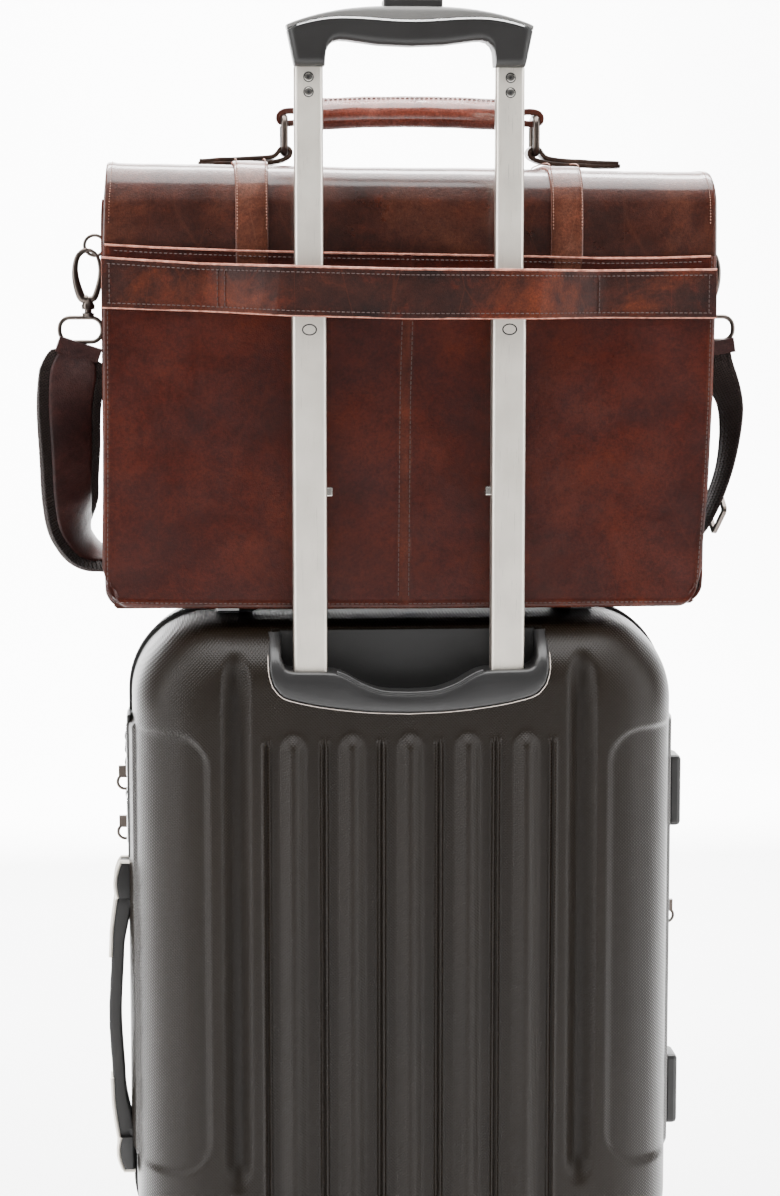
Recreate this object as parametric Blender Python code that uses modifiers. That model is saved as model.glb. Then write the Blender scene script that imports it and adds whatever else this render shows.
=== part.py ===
"""Rolling laptop case: a leather flap briefcase on the telescopic handle of a wheeled cabin case.

Frame: metres, +Z up, the wheels stand on z = 0. X runs across the width, with X = 0 midway
between the two handle tubes, and Y through the depth, with the handle on the -Y side.
Left and right are those of someone who stands behind the handle and looks along +Y.
"""

from math import cos, pi, radians, sin

import bmesh
import bpy
from mathutils import Matrix, Vector

# Driving dimensions, in metres
GAP = 0.0003  # clearance between pieces that touch
LEFT, RIGHT = -1, 1
REAR, FRONT = -1, 1

# Hard case
SHELL_HALF_WIDTH = 0.194
SHELL_BOTTOM = 0.052
SHELL_TOP = 0.5365
SHELL_WALL = 0.0025
SHELL_FACE = 0.112  # distance of the flat faces from the zip plane
SHELL_RADIUS = 0.060
ZIP_HALF_WIDTH = 0.0055
ZIP_STAND_PROUD = 0.0022
RIB_BOTTOM = 0.105
RIB_TOP = 0.4586
RIB_PITCH = 0.040
RIDGE_WIDTH = 0.0056
RIB_WIDTH = 0.016
RIB_HEIGHT = 0.0028

# Telescopic handle
TUBE_X = 0.0688  # centre of each tube
HANDLE_Y = -0.100  # centre plane of the tubes
LOWER_TUBE = (0.0235, 0.0140)  # width and depth
UPPER_TUBE = (0.0198, 0.0106)
TUBE_CHAMFER = 0.0032
LOWER_WALL = 0.0014
UPPER_WALL = 0.0012
LOWER_TUBE_BOTTOM = 0.440
LOWER_TUBE_TOP = 0.768
UPPER_TUBE_BOTTOM = 0.700
UPPER_TUBE_TOP = 0.9167
GUIDE_BOTTOM = 0.120
GUIDE_TOP = 0.4738
GUIDE_WALL = 0.0012
DETENT_Z = 0.628
DETENT_HOLE_Z = 0.741
BEZEL_HALF_WIDTH = 0.0975
BEZEL_BACK = -0.0842
POCKET_BACK = -0.0866
LEDGE_Z = 0.503
GRIP_REAR = -0.1142
GRIP_FRONT = -0.0872
GRIP_HALF_WIDTH = 0.0840
GRIP_LINE_Z = 0.9466
BUTTON_X = 0.0018
BUTTON_WIDTH = 0.040
BUTTON_TOP = 0.962
BUTTON_BOTTOM = 0.9537

# Wheels
WHEEL_X = 0.148
WHEEL_Y = 0.071
WHEEL_RADIUS = 0.019
WHEEL_TREAD = 0.0200
CASTER_TRAIL = 0.011
CARRIER_BOTTOM = 0.0468

# Side fittings of the hard case
SIDE_Y = -0.030

# Leather case
CASE_HALF_WIDTH = 0.212
CASE_BOTTOM = 0.5448
CASE_TOP = 0.848
CASE_REAR = -0.083
CASE_FRONT = 0.045
LEATHER = 0.0045
FLAP_LEATHER = 0.0040
FLAP_LEFT = -0.208
FLAP_RIGHT = 0.216
FLAP_FRONT_BOTTOM = 0.640
POCKET_TOP = 0.7925
BAND_BOTTOM = 0.750
BAND_TOP = 0.786
BAND_THICKNESS = 0.0025
BAND_FRONT = -0.1155
BELT_WIDTH = 0.0255
BELT_X = (-0.1075, 0.1120)
BELT_THICKNESS = 0.0030
CARRY_Y = -0.015  # plane of the carry handle
RING_X = (-0.0820, 0.0970)
RING_LOW_Z = 0.8622  # centre of each handle ring's lower bar
RING_HIGH_Z = 0.8868
SIDE_RING_Y = -0.019
SIDE_RING_Z = 0.797
STRAP_WIDTH = 0.025
STRAP_THICKNESS = 0.0025
PAD_WIDTH = 0.048
PAD_THICKNESS = 0.008


# Scene and collections
for leftover in list(bpy.data.objects):
    bpy.data.objects.remove(leftover, do_unlink=True)

scene = bpy.context.scene
parts = bpy.data.collections.new("rolling_laptop_case")
cutters = bpy.data.collections.new("cutters")
scene.collection.children.link(parts)
scene.collection.children.link(cutters)


# Materials
def make_material(name, colour, roughness, metallic=0.0):
    """A Principled material with a plain colour."""
    material = bpy.data.materials.new(name)
    material.use_nodes = True
    shader = material.node_tree.nodes["Principled BSDF"]
    shader.inputs["Base Color"].default_value = (*colour, 1.0)
    shader.inputs["Roughness"].default_value = roughness
    shader.inputs["Metallic"].default_value = metallic
    material.diffuse_color = (*colour, 1.0)
    return material


SHELL = make_material("graphite_shell", (0.075, 0.066, 0.059), 0.35, 0.3)
ZIP_TAPE = make_material("zip_tape", (0.012, 0.012, 0.013), 0.85)
BLACK_PLASTIC = make_material("black_plastic", (0.045, 0.043, 0.041), 0.45)
GREY_PLASTIC = make_material("grey_plastic", (0.31, 0.30, 0.29), 0.40, 0.2)
ALUMINIUM = make_material("anodised_aluminium", (0.52, 0.48, 0.43), 0.35, 0.9)
CHROME = make_material("chrome", (0.75, 0.75, 0.75), 0.12, 1.0)
RUBBER = make_material("wheel_rubber", (0.02, 0.02, 0.02), 0.80)
BROWN_LEATHER = make_material("brown_leather", (0.060, 0.017, 0.012), 0.35)
BELT_LEATHER = make_material("belt_leather", (0.120, 0.050, 0.032), 0.45)
LINING = make_material("lining_cloth", (0.10, 0.075, 0.055), 0.90)
GUNMETAL = make_material("gunmetal", (0.10, 0.09, 0.085), 0.35, 1.0)
WEBBING = make_material("webbing", (0.016, 0.012, 0.010), 0.90)
PAD_LEATHER = make_material("pad_leather", (0.045, 0.020, 0.017), 0.50)


# Outlines
def rounded_rectangle(x_low, x_high, y_low, y_high, radius, steps=4):
    """The outline of a rectangle with round corners, counter-clockwise."""
    corners = (
        (x_high - radius, y_low + radius, -90),
        (x_high - radius, y_high - radius, 0),
        (x_low + radius, y_high - radius, 90),
        (x_low + radius, y_low + radius, 180),
    )
    outline = []
    for centre_x, centre_y, start in corners:
        for step in range(steps + 1):
            angle = radians(start + 90 * step / steps)
            outline.append((centre_x + radius * cos(angle), centre_y + radius * sin(angle)))
    return outline


def mirrored(outline):
    """A left-to-right copy of an outline."""
    return [(-x, y) for x, y in outline]


def arc(centre, radius, start, end, steps):
    """Points on an arc, from one angle in degrees to another."""
    angles = [radians(start + (end - start) * step / steps) for step in range(steps + 1)]
    return [(centre[0] + radius * cos(angle), centre[1] + radius * sin(angle)) for angle in angles]


# Meshes
PLANES = {
    "XY": Matrix(((1, 0, 0, 0), (0, 1, 0, 0), (0, 0, 1, 0), (0, 0, 0, 1))),
    "XZ": Matrix(((1, 0, 0, 0), (0, 0, -1, 0), (0, 1, 0, 0), (0, 0, 0, 1))),
    "YZ": Matrix(((0, 0, 1, 0), (1, 0, 0, 0), (0, 1, 0, 0), (0, 0, 0, 1))),
}


def plate(outlines, plane, low, high):
    """A flat outline, with any holes as further outlines, that fills a plane from low to high."""
    curve = bpy.data.curves.new("outline", "CURVE")
    curve.dimensions = "2D"
    curve.fill_mode = "BOTH"
    curve.extrude = (high - low) / 2
    for outline in outlines:
        spline = curve.splines.new("POLY")
        spline.points.add(len(outline) - 1)
        for point, (u, v) in zip(spline.points, outline):
            point.co = (u, v, 0.0, 1.0)
        spline.use_cyclic_u = True
    holder = bpy.data.objects.new("outline", curve)
    scene.collection.objects.link(holder)
    evaluated = holder.evaluated_get(bpy.context.evaluated_depsgraph_get())
    mesh = bpy.data.meshes.new_from_object(evaluated)
    bpy.data.objects.remove(holder)
    middle = (low + high) / 2
    if plane == "XZ":
        middle = -middle
    mesh.transform(PLANES[plane] @ Matrix.Translation((0.0, 0.0, middle)))
    shape = bmesh.new()
    shape.from_mesh(mesh)
    bmesh.ops.remove_doubles(shape, verts=shape.verts, dist=1e-6)
    bmesh.ops.dissolve_limit(shape, angle_limit=radians(0.1), verts=shape.verts, edges=shape.edges)
    bmesh.ops.recalc_face_normals(shape, faces=shape.faces)
    shape.to_mesh(mesh)
    shape.free()
    return mesh


def box(x_low, x_high, y_low, y_high, z_low, z_high):
    """A box between two corners."""
    size = Vector((x_high - x_low, y_high - y_low, z_high - z_low))
    middle = Vector((x_high + x_low, y_high + y_low, z_high + z_low)) / 2
    shape = bmesh.new()
    bmesh.ops.create_cube(shape, size=1.0, matrix=Matrix.Translation(middle) @ Matrix.Diagonal((*size, 1)))
    mesh = bpy.data.meshes.new("box")
    shape.to_mesh(mesh)
    shape.free()
    return mesh


def loft(rings, closed_start=True, closed_end=True):
    """A skin over rings of points that all have the same count."""
    shape = bmesh.new()
    levels = [[shape.verts.new(point) for point in ring] for ring in rings]
    for lower, upper in zip(levels, levels[1:]):
        for index in range(len(lower)):
            following = (index + 1) % len(lower)
            shape.faces.new((lower[index], lower[following], upper[following], upper[index]))
    if closed_start:
        shape.faces.new(list(reversed(levels[0])))
    if closed_end:
        shape.faces.new(levels[-1])
    mesh = bpy.data.meshes.new("loft")
    shape.to_mesh(mesh)
    shape.free()
    return mesh


def facing_out(mesh):
    """The closed mesh with its faces turned outwards."""
    shape = bmesh.new()
    shape.from_mesh(mesh)
    bmesh.ops.recalc_face_normals(shape, faces=shape.faces)
    shape.to_mesh(mesh)
    shape.free()
    return mesh


def torus(centre, radius, wire, steps=16, sides=6):
    """A ring round the X axis."""
    shape = bmesh.new()
    levels = []
    for step in range(steps):
        angle = 2 * pi * step / steps
        level = []
        for corner in range(sides):
            turn = 2 * pi * corner / sides
            reach = radius + wire * cos(turn)
            place = (wire * sin(turn), reach * cos(angle), reach * sin(angle))
            level.append(shape.verts.new(Vector(place) + Vector(centre)))
        levels.append(level)
    for index, level in enumerate(levels):
        following = levels[(index + 1) % steps]
        for corner in range(sides):
            beside = (corner + 1) % sides
            shape.faces.new((level[corner], level[beside], following[beside], following[corner]))
    mesh = bpy.data.meshes.new("torus")
    shape.to_mesh(mesh)
    shape.free()
    return facing_out(mesh)


def smooth(points, steps):
    """A smooth curve through points of any dimension, with equal steps between each two."""
    padded = [points[0], *points, points[-1]]
    curve = []
    for before, start, end, after in zip(padded, padded[1:], padded[2:], padded[3:]):
        for step in range(steps):
            t = step / steps
            curve.append(
                0.5
                * (
                    2 * start
                    + (end - before) * t
                    + (2 * before - 5 * start + 4 * end - after) * t**2
                    + (3 * start - before - 3 * end + after) * t**3
                )
            )
    curve.append(points[-1])
    return curve


# Objects
def add_axis(name, place):
    """An empty on a joint's axis."""
    axis = bpy.data.objects.new(name, None)
    axis.location = place
    axis.empty_display_size = 0.02
    parts.objects.link(axis)
    return axis


def hang_on(child, parent):
    """Parent an object and leave it where it is."""
    child.parent = parent
    child.matrix_parent_inverse = Matrix.Translation(-parent.location)


def add_part(name, mesh, material, origin=(0.0, 0.0, 0.0), axis=None):
    """A named sub-part, with its origin where it turns or slides."""
    mesh.name = name
    mesh.transform(Matrix.Translation(-Vector(origin)))
    mesh.materials.clear()
    mesh.materials.append(material)
    part = bpy.data.objects.new(name, mesh)
    part.location = origin
    parts.objects.link(part)
    if axis:
        hang_on(part, axis)
    return part


def add_cutter(name, mesh):
    """A shape that is taken from a sub-part or joined to it, and isn't one itself."""
    cutter = bpy.data.objects.new(name, mesh)
    cutter.hide_render = True
    cutter.display_type = "WIRE"
    cutters.objects.link(cutter)
    return cutter


def bevel(part, width, segments=2, angle=40):
    """Round the sharp edges of a sub-part."""
    modifier = part.modifiers.new("edges", "BEVEL")
    modifier.width = width
    modifier.segments = segments
    modifier.limit_method = "ANGLE"
    modifier.angle_limit = radians(angle)


def combine(part, name, mesh, operation="DIFFERENCE"):
    """Cut a shape out of a sub-part, join it on, or keep what they share."""
    modifier = part.modifiers.new(name, "BOOLEAN")
    modifier.operation = operation
    modifier.solver = "EXACT"
    modifier.object = add_cutter(f"{part.name}_{name}", mesh)


def shade_round(part, angle=35):
    """Smooth shading that keeps the sharp edges."""
    part.data.shade_smooth()
    part.data.set_sharp_from_angle(angle=radians(angle))


# Hard case: two shells that meet at a zip on the plane Y = 0
SHELL_PROFILE = (
    # distance from the zip plane, inset from the widest outline
    (0.0058, 0.000),
    (0.0460, 0.000),
    (0.0700, 0.0035),
    (0.0880, 0.0115),
    (0.1000, 0.0215),
    (0.1085, 0.0350),
    (SHELL_FACE, 0.0520),
)
END_INSET_RATIO = 0.75


def shell_outline(inset, steps=5):
    """The shell's outline in X and Z where its wall stands in by an inset."""
    end_inset = inset * END_INSET_RATIO
    return rounded_rectangle(
        -SHELL_HALF_WIDTH + inset,
        SHELL_HALF_WIDTH - inset,
        SHELL_BOTTOM + end_inset,
        SHELL_TOP - end_inset,
        SHELL_RADIUS - inset * 0.45,
        steps,
    )


def merged(meshes):
    """Several closed meshes that don't touch, as one mesh."""
    shape = bmesh.new()
    for mesh in meshes:
        shape.from_mesh(mesh)
    mesh = bpy.data.meshes.new("merged")
    shape.to_mesh(mesh)
    shape.free()
    return mesh


def make_shell(name, side, axis=None):
    """A moulded tray with raised ribs on its flat face, open at the zip plane."""
    rings = [[(x, side * depth, z) for x, z in shell_outline(inset)] for depth, inset in SHELL_PROFILE]
    mesh = facing_out(loft(rings, closed_start=False))
    shell = add_part(name, mesh, SHELL, axis=axis)
    wall = shell.modifiers.new("wall", "SOLIDIFY")
    wall.thickness = SHELL_WALL
    wall.offset = -1.0
    ribs = []
    for index in range(11):
        x = (index - 5) * RIB_PITCH / 2
        half = (RIDGE_WIDTH if index % 2 == 0 else RIB_WIDTH) / 2
        root, crest = sorted((side * (SHELL_FACE - 0.001), side * (SHELL_FACE + RIB_HEIGHT)))
        ribs.append(box(x - half, x + half, root, crest, RIB_BOTTOM, RIB_TOP))
    combine(shell, "ribs", merged(ribs), "UNION")
    return shell


def zip_band(name, side, axis=None):
    """Half of the zip's band round the rim of one shell."""
    outer = rounded_rectangle(
        -SHELL_HALF_WIDTH - ZIP_STAND_PROUD,
        SHELL_HALF_WIDTH + ZIP_STAND_PROUD,
        SHELL_BOTTOM - 0.001,
        SHELL_TOP + 0.0015,
        SHELL_RADIUS + 0.001,
        5,
    )
    inner = rounded_rectangle(
        -SHELL_HALF_WIDTH + 0.003,
        SHELL_HALF_WIDTH - 0.003,
        SHELL_BOTTOM + 0.003,
        SHELL_TOP - 0.003,
        SHELL_RADIUS - 0.003,
        5,
    )
    low, high = sorted((side * GAP / 2, side * ZIP_HALF_WIDTH))
    return add_part(name, plate([outer, inner], "XZ", low, high), ZIP_TAPE, axis=axis)


lid_axis = add_axis("lid_axis", (SHELL_HALF_WIDTH + ZIP_STAND_PROUD, 0.0, 0.3))
rear_shell = make_shell("rear_shell", REAR)
front_shell = make_shell("front_shell", FRONT, lid_axis)
zip_band("zip_band_rear", REAR)
zip_band("zip_band_front", FRONT, lid_axis)


# Housing of the telescopic handle, let into the top of the rear shell
def bezel_outline(grow=0.0):
    """The housing's outline in X and Z, with a bowed bottom edge and an open top."""
    half = BEZEL_HALF_WIDTH + grow
    bottom = [
        (0.0, 0.4748),
        (0.030, 0.4760),
        (0.060, 0.4795),
        (0.080, 0.4835),
        (0.091, 0.4880),
        (0.0965, 0.4960),
    ]
    right = [(x + (grow if x > 0.09 else 0.0), z - grow) for x, z in bottom]
    left = mirrored(right[1:])
    return [*reversed(left), *right, (half, 0.531 + grow), (-half, 0.531 + grow)]


def tube_opening(side, clearance):
    """The hole for a lower tube, in X and Y."""
    half_width = LOWER_TUBE[0] / 2 + clearance
    half_depth = LOWER_TUBE[1] / 2 + clearance
    x = side * TUBE_X
    return x - half_width, x + half_width, HANDLE_Y - half_depth, HANDLE_Y + half_depth


BEZEL_FACE = -0.1132
bezel = add_part("handle_bezel", plate([bezel_outline()], "XZ", BEZEL_FACE, BEZEL_BACK), BLACK_PLASTIC)
bezel_side_view = [
    (BEZEL_FACE - 0.001, 0.460),
    (BEZEL_BACK + 0.001, 0.460),
    (BEZEL_BACK + 0.001, 0.5290),
    (-0.0885, 0.5278),
    (-0.1005, 0.5205),
    (-0.1090, 0.5120),
    (BEZEL_FACE - 0.001, 0.4985),
]
combine(bezel, "curved_top", plate([bezel_side_view], "YZ", -0.12, 0.12), "INTERSECT")
ledge_half = [(0.0, 0.4878), (0.016, 0.4884), (0.034, 0.4945), (0.050, LEDGE_Z), (0.089, LEDGE_Z + 0.001)]
pocket_outline = [*mirrored(reversed(ledge_half)), *ledge_half[1:], (0.089, 0.560), (-0.089, 0.560)]
combine(bezel, "pocket", plate([pocket_outline], "XZ", -0.130, POCKET_BACK))
DETENT_REACH = 0.0040
DETENT_HALF_DEPTH = 0.0029
for side, word in ((LEFT, "left"), (RIGHT, "right")):
    combine(bezel, f"{word}_tube_hole", box(*tube_opening(side, GAP), 0.440, 0.560))
    notch_x = sorted((side * (TUBE_X - 0.010), side * (TUBE_X - LOWER_TUBE[0] / 2 - DETENT_REACH - 0.0008)))
    notch = box(*notch_x, HANDLE_Y - 0.0036, HANDLE_Y + 0.0036, 0.440, 0.560)
    combine(bezel, f"{word}_catch_notch", notch)
combine(rear_shell, "bezel_opening", plate([bezel_outline(GAP)], "XZ", -0.130, BEZEL_BACK + GAP))


# Guide channels for the lower tubes, inside the rear shell
def guide_outline(side):
    """A channel's outline in X and Y, slotted on the side that faces the other channel."""
    inner_x = TUBE_X - LOWER_TUBE[0] / 2 - GAP
    outer_x = TUBE_X + LOWER_TUBE[0] / 2 + GAP
    half_depth = LOWER_TUBE[1] / 2 + GAP
    slot = 0.0045
    wall = GUIDE_WALL
    half = [
        (inner_x - wall, -slot),
        (inner_x - wall, -half_depth - wall),
        (outer_x + wall, -half_depth - wall),
        (outer_x + wall, half_depth + wall),
        (inner_x - wall, half_depth + wall),
        (inner_x - wall, slot),
        (inner_x, slot),
        (inner_x, half_depth),
        (outer_x, half_depth),
        (outer_x, -half_depth),
        (inner_x, -half_depth),
        (inner_x, -slot),
    ]
    return [(side * x, HANDLE_Y + y) for x, y in half]


for side, word in ((LEFT, "left"), (RIGHT, "right")):
    add_part(f"guide_tube_{word}", plate([guide_outline(side)], "XY", GUIDE_BOTTOM, GUIDE_TOP), ALUMINIUM)
guide_foot = add_part(
    "guide_foot", box(-0.085, 0.085, -0.1090, -0.0900, GUIDE_BOTTOM - 0.012, GUIDE_BOTTOM - GAP), BLACK_PLASTIC
)
bevel(guide_foot, 0.002, 1)


# Telescopic tubes
def tube_mesh(side, size, wall, low, high):
    """A straight rectangular tube with chamfered corners, open at both ends."""
    outlines = []
    for inset in (0.0, wall):
        half_width = size[0] / 2 - inset
        half_depth = size[1] / 2 - inset
        chamfer = TUBE_CHAMFER - inset * 0.6
        corners = [
            (half_width, -half_depth + chamfer),
            (half_width, half_depth - chamfer),
            (half_width - chamfer, half_depth),
            (-half_width + chamfer, half_depth),
            (-half_width, half_depth - chamfer),
            (-half_width, -half_depth + chamfer),
            (-half_width + chamfer, -half_depth),
            (half_width - chamfer, -half_depth),
        ]
        outlines.append([(side * TUBE_X + x, HANDLE_Y + y) for x, y in corners])
    return plate(outlines, "XY", low, high)


lower_axis = add_axis("lower_handle_axis", (0.0, HANDLE_Y, LOWER_TUBE_BOTTOM))
upper_axis = add_axis("upper_handle_axis", (0.0, HANDLE_Y, UPPER_TUBE_BOTTOM))
hang_on(upper_axis, lower_axis)
for side, word in ((LEFT, "left"), (RIGHT, "right")):
    mesh = tube_mesh(side, LOWER_TUBE, LOWER_WALL, LOWER_TUBE_BOTTOM, LOWER_TUBE_TOP)
    tube = add_part(f"lower_tube_{word}", mesh, ALUMINIUM, axis=lower_axis)
    wall_x = sorted((side * (TUBE_X - LOWER_TUBE[0] / 2 - 0.001), side * (TUBE_X - 0.0098)))
    for hole, middle, half_height in (("catch_hole", DETENT_Z, 0.0035), ("latch_hole", DETENT_HOLE_Z, 0.0042)):
        opening = box(*wall_x, HANDLE_Y - 0.0032, HANDLE_Y + 0.0032, middle - half_height, middle + half_height)
        combine(tube, hole, opening)
    mesh = tube_mesh(side, UPPER_TUBE, UPPER_WALL, UPPER_TUBE_BOTTOM, UPPER_TUBE_TOP)
    add_part(f"upper_tube_{word}", mesh, ALUMINIUM, axis=upper_axis)

    # The sprung catch that stands through the inner wall of the lower tube
    wall_face = TUBE_X - LOWER_TUBE[0] / 2
    catch_x = sorted((side * (wall_face - DETENT_REACH), side * (wall_face + 0.0013)))
    catch = box(
        *catch_x,
        HANDLE_Y - DETENT_HALF_DEPTH,
        HANDLE_Y + DETENT_HALF_DEPTH,
        DETENT_Z - 0.0031,
        DETENT_Z + 0.0031,
    )
    catch_axis = add_axis(f"detent_axis_{word}", (side * wall_face, HANDLE_Y, DETENT_Z))
    hang_on(catch_axis, lower_axis)
    button = add_part(
        f"detent_button_{word}", catch, CHROME, (side * wall_face, HANDLE_Y, DETENT_Z), catch_axis
    )
    bevel(button, 0.0008, 2)


# Grip: a black body with a grey cover and a release button
def grip_line(x):
    """Height of the line between the body and the cover, a shallow wave that drops at the ends."""
    wave = 0.0010 * (1.0 - cos(pi * min(abs(x), 0.045) / 0.045))
    end_drop = 5.0 * max(0.0, abs(x) - 0.045) ** 2
    return GRIP_LINE_Z + wave - end_drop


LINE_STEPS = 14
line_points = [
    (x, grip_line(x)) for x in [GRIP_HALF_WIDTH * (step / (LINE_STEPS / 2) - 1) for step in range(LINE_STEPS + 1)]
]
arm_inner = TUBE_X - UPPER_TUBE[0] / 2 + 0.0003
arm_outer = TUBE_X + UPPER_TUBE[0] / 2
arm_half = [
    (0.0, 0.9303),
    (0.022, 0.9312),
    (0.044, 0.9345),
    (0.054, 0.9340),
    (0.0578, 0.9300),
    (arm_inner, 0.9235),
    (arm_inner, 0.9200),
    (arm_outer, 0.9200),
    (arm_outer, 0.9228),
    (0.0812, 0.9290),
    (0.0832, 0.9360),
]
body_outline = [*mirrored(reversed(arm_half[1:])), *arm_half, *reversed(line_points)]
grip_body = add_part(
    "grip_body", plate([body_outline], "XZ", GRIP_REAR, GRIP_FRONT), BLACK_PLASTIC, axis=upper_axis
)
SPIGOT_X = 0.0058
SPIGOT_Y = 0.0038
for side, word in ((LEFT, "left"), (RIGHT, "right")):
    x = side * TUBE_X
    arm_x = sorted((side * arm_inner, side * arm_outer))
    arm = box(*arm_x, HANDLE_Y - 0.0066, HANDLE_Y + 0.0066, UPPER_TUBE_TOP + GAP, 0.9230)
    combine(grip_body, f"{word}_arm", arm, "UNION")
    spigot = box(x - SPIGOT_X, x + SPIGOT_X, HANDLE_Y - SPIGOT_Y, HANDLE_Y + SPIGOT_Y, 0.893, 0.9225)
    combine(grip_body, f"{word}_spigot", spigot, "UNION")


def grip_top(x):
    """Height of the top of the cover."""
    rise = 1.0 - (abs(x) / GRIP_HALF_WIDTH) ** 2.6
    return 0.9440 + 0.0130 * rise


top_points = [(x, grip_top(x)) for x, z in line_points]
cover_outline = [*[(x, z + 1.5 * GAP) for x, z in line_points], *reversed(top_points)]
grip_cover = add_part(
    "grip_cover", plate([cover_outline], "XZ", GRIP_REAR, GRIP_FRONT), GREY_PLASTIC, axis=upper_axis
)
notch_half = BUTTON_WIDTH / 2 + 0.0004
button_notch = box(BUTTON_X - notch_half, BUTTON_X + notch_half, -0.120, -0.080, 0.9500, 0.970)
combine(grip_cover, "button_notch", button_notch)
button_axis = add_axis("release_button_axis", (BUTTON_X, HANDLE_Y, BUTTON_BOTTOM))
hang_on(button_axis, upper_axis)
release_button = add_part(
    "release_button",
    box(
        BUTTON_X - BUTTON_WIDTH / 2,
        BUTTON_X + BUTTON_WIDTH / 2,
        GRIP_REAR + 0.0025,
        GRIP_FRONT - 0.0025,
        BUTTON_BOTTOM,
        BUTTON_TOP,
    ),
    BLACK_PLASTIC,
    (BUTTON_X, HANDLE_Y, BUTTON_BOTTOM),
    button_axis,
)
bevel(release_button, 0.0015, 2)


# Carry handles, feet, lock and zip pulls of the hard case
def side_bow(x_end, x_middle, z_low, z_high, steps=8):
    """Points of a shallow bow on the left side, in X and Z, from bottom to top."""
    points = []
    for step in range(steps + 1):
        along = 2 * step / steps - 1
        x = x_middle + (x_end - x_middle) * along**2
        points.append((x, (z_low + z_high) / 2 + along * (z_high - z_low) / 2))
    return points


HANDLE_LOW = 0.148
HANDLE_HIGH = 0.334
TAB_OUTER = -0.2030
TAB_INNER = -0.1995
outer_bow = side_bow(-0.2060, -0.2135, HANDLE_LOW + 0.012, HANDLE_HIGH - 0.012)
inner_bow = side_bow(-0.2015, -0.2075, HANDLE_LOW + 0.012, HANDLE_HIGH - 0.012)
bow_outline = [
    (TAB_OUTER, HANDLE_LOW),
    *outer_bow,
    (TAB_OUTER, HANDLE_HIGH),
    (TAB_INNER, HANDLE_HIGH),
    *reversed(inner_bow),
    (TAB_INNER, HANDLE_LOW),
]
side_handle_axis = add_axis("side_handle_axis", (TAB_INNER, SIDE_Y, (HANDLE_LOW + HANDLE_HIGH) / 2))
side_handle = add_part(
    "side_handle_grip",
    plate([bow_outline], "XZ", SIDE_Y - 0.009, SIDE_Y + 0.009),
    BLACK_PLASTIC,
    (TAB_INNER, SIDE_Y, (HANDLE_LOW + HANDLE_HIGH) / 2),
    side_handle_axis,
)
bevel(side_handle, 0.0012, 1)
MOUNT_LENGTH = 0.034
WALL_FACE = -SHELL_HALF_WIDTH - GAP
for word, inward, tip in (("upper", -1, HANDLE_HIGH), ("lower", 1, HANDLE_LOW)):
    end = tip - inward * 0.022
    z_low, z_high = sorted((end, end + inward * MOUNT_LENGTH))
    mount = add_part(
        f"side_handle_mount_{word}",
        box(-0.2052, WALL_FACE, SIDE_Y - 0.0125, SIDE_Y + 0.0125, z_low, z_high),
        CHROME,
    )
    slot_low, slot_high = sorted((tip - inward * 0.0010, tip + inward * 0.030))
    slot = box(-0.2100, -0.1985, SIDE_Y - 0.0094, SIDE_Y + 0.0094, slot_low, slot_high)
    combine(mount, "tab_slot", slot)

# The top handle lies flat on the shell
TOP_HANDLE_Y = -0.026
top_handle_outline = [
    (-0.132, SHELL_TOP + GAP),
    (-0.108, SHELL_TOP + GAP),
    (-0.100, 0.5405),
    (0.106, 0.5405),
    (0.114, SHELL_TOP + GAP),
    (0.138, SHELL_TOP + GAP),
    (0.135, 0.5418),
    (0.112, CASE_BOTTOM - GAP),
    (-0.106, CASE_BOTTOM - GAP),
    (-0.129, 0.5418),
]
top_handle = add_part(
    "top_handle", plate([top_handle_outline], "XZ", TOP_HANDLE_Y - 0.012, TOP_HANDLE_Y + 0.012), BLACK_PLASTIC
)

# Feet on the right side, which the case lies on
for word, z_low, z_high in (("upper", 0.377, 0.429), ("lower", 0.153, 0.205)):
    foot = add_part(
        f"side_foot_{word}",
        box(-WALL_FACE, 0.2042, SIDE_Y - 0.0135, SIDE_Y + 0.0135, z_low, z_high),
        BLACK_PLASTIC,
    )
    bevel(foot, 0.0030, 2)

LOCK_LOW, LOCK_HIGH = 0.3600, 0.4640
lock_body = add_part(
    "lock_body", box(-0.1975, WALL_FACE, SIDE_Y - 0.013, SIDE_Y + 0.015, LOCK_LOW, LOCK_HIGH), BLACK_PLASTIC
)
bevel(lock_body, 0.0012, 2)


def zip_pull(name, side, y, z, axis_name):
    """A ring-ended zip pull that hangs on the side of the zip band; its pivot is its top end."""
    outer = rounded_rectangle(y - 0.0042, y + 0.0042, z - 0.0270, z, 0.0020, 2)
    inner = rounded_rectangle(y - 0.0022, y + 0.0022, z - 0.0245, z - 0.0150, 0.0014, 2)
    face = SHELL_HALF_WIDTH + ZIP_STAND_PROUD + GAP
    low, high = face, face + 0.0020
    x_low, x_high = sorted((side * low, side * high))
    pivot = (side * (low + high) / 2, y, z)
    axis = add_axis(axis_name, pivot)
    return add_part(name, plate([outer, inner], "YZ", x_low, x_high), GUNMETAL, pivot, axis)


zip_pull("zip_pull_upper", LEFT, -0.0005, 0.430, "upper_pull_axis")
zip_pull("zip_pull_lower", LEFT, -0.0005, 0.393, "lower_pull_axis")

# Wheels: a carrier under each shell, with two swivelling casters
CASTER_HOLE = 0.0046
STEM_RADIUS = 0.0040
FORK_TOP = CARRIER_BOTTOM - GAP
FORK_CAP = 0.0045
LEG_HALF = 0.0026
AXLE_RADIUS = 0.0030


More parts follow.
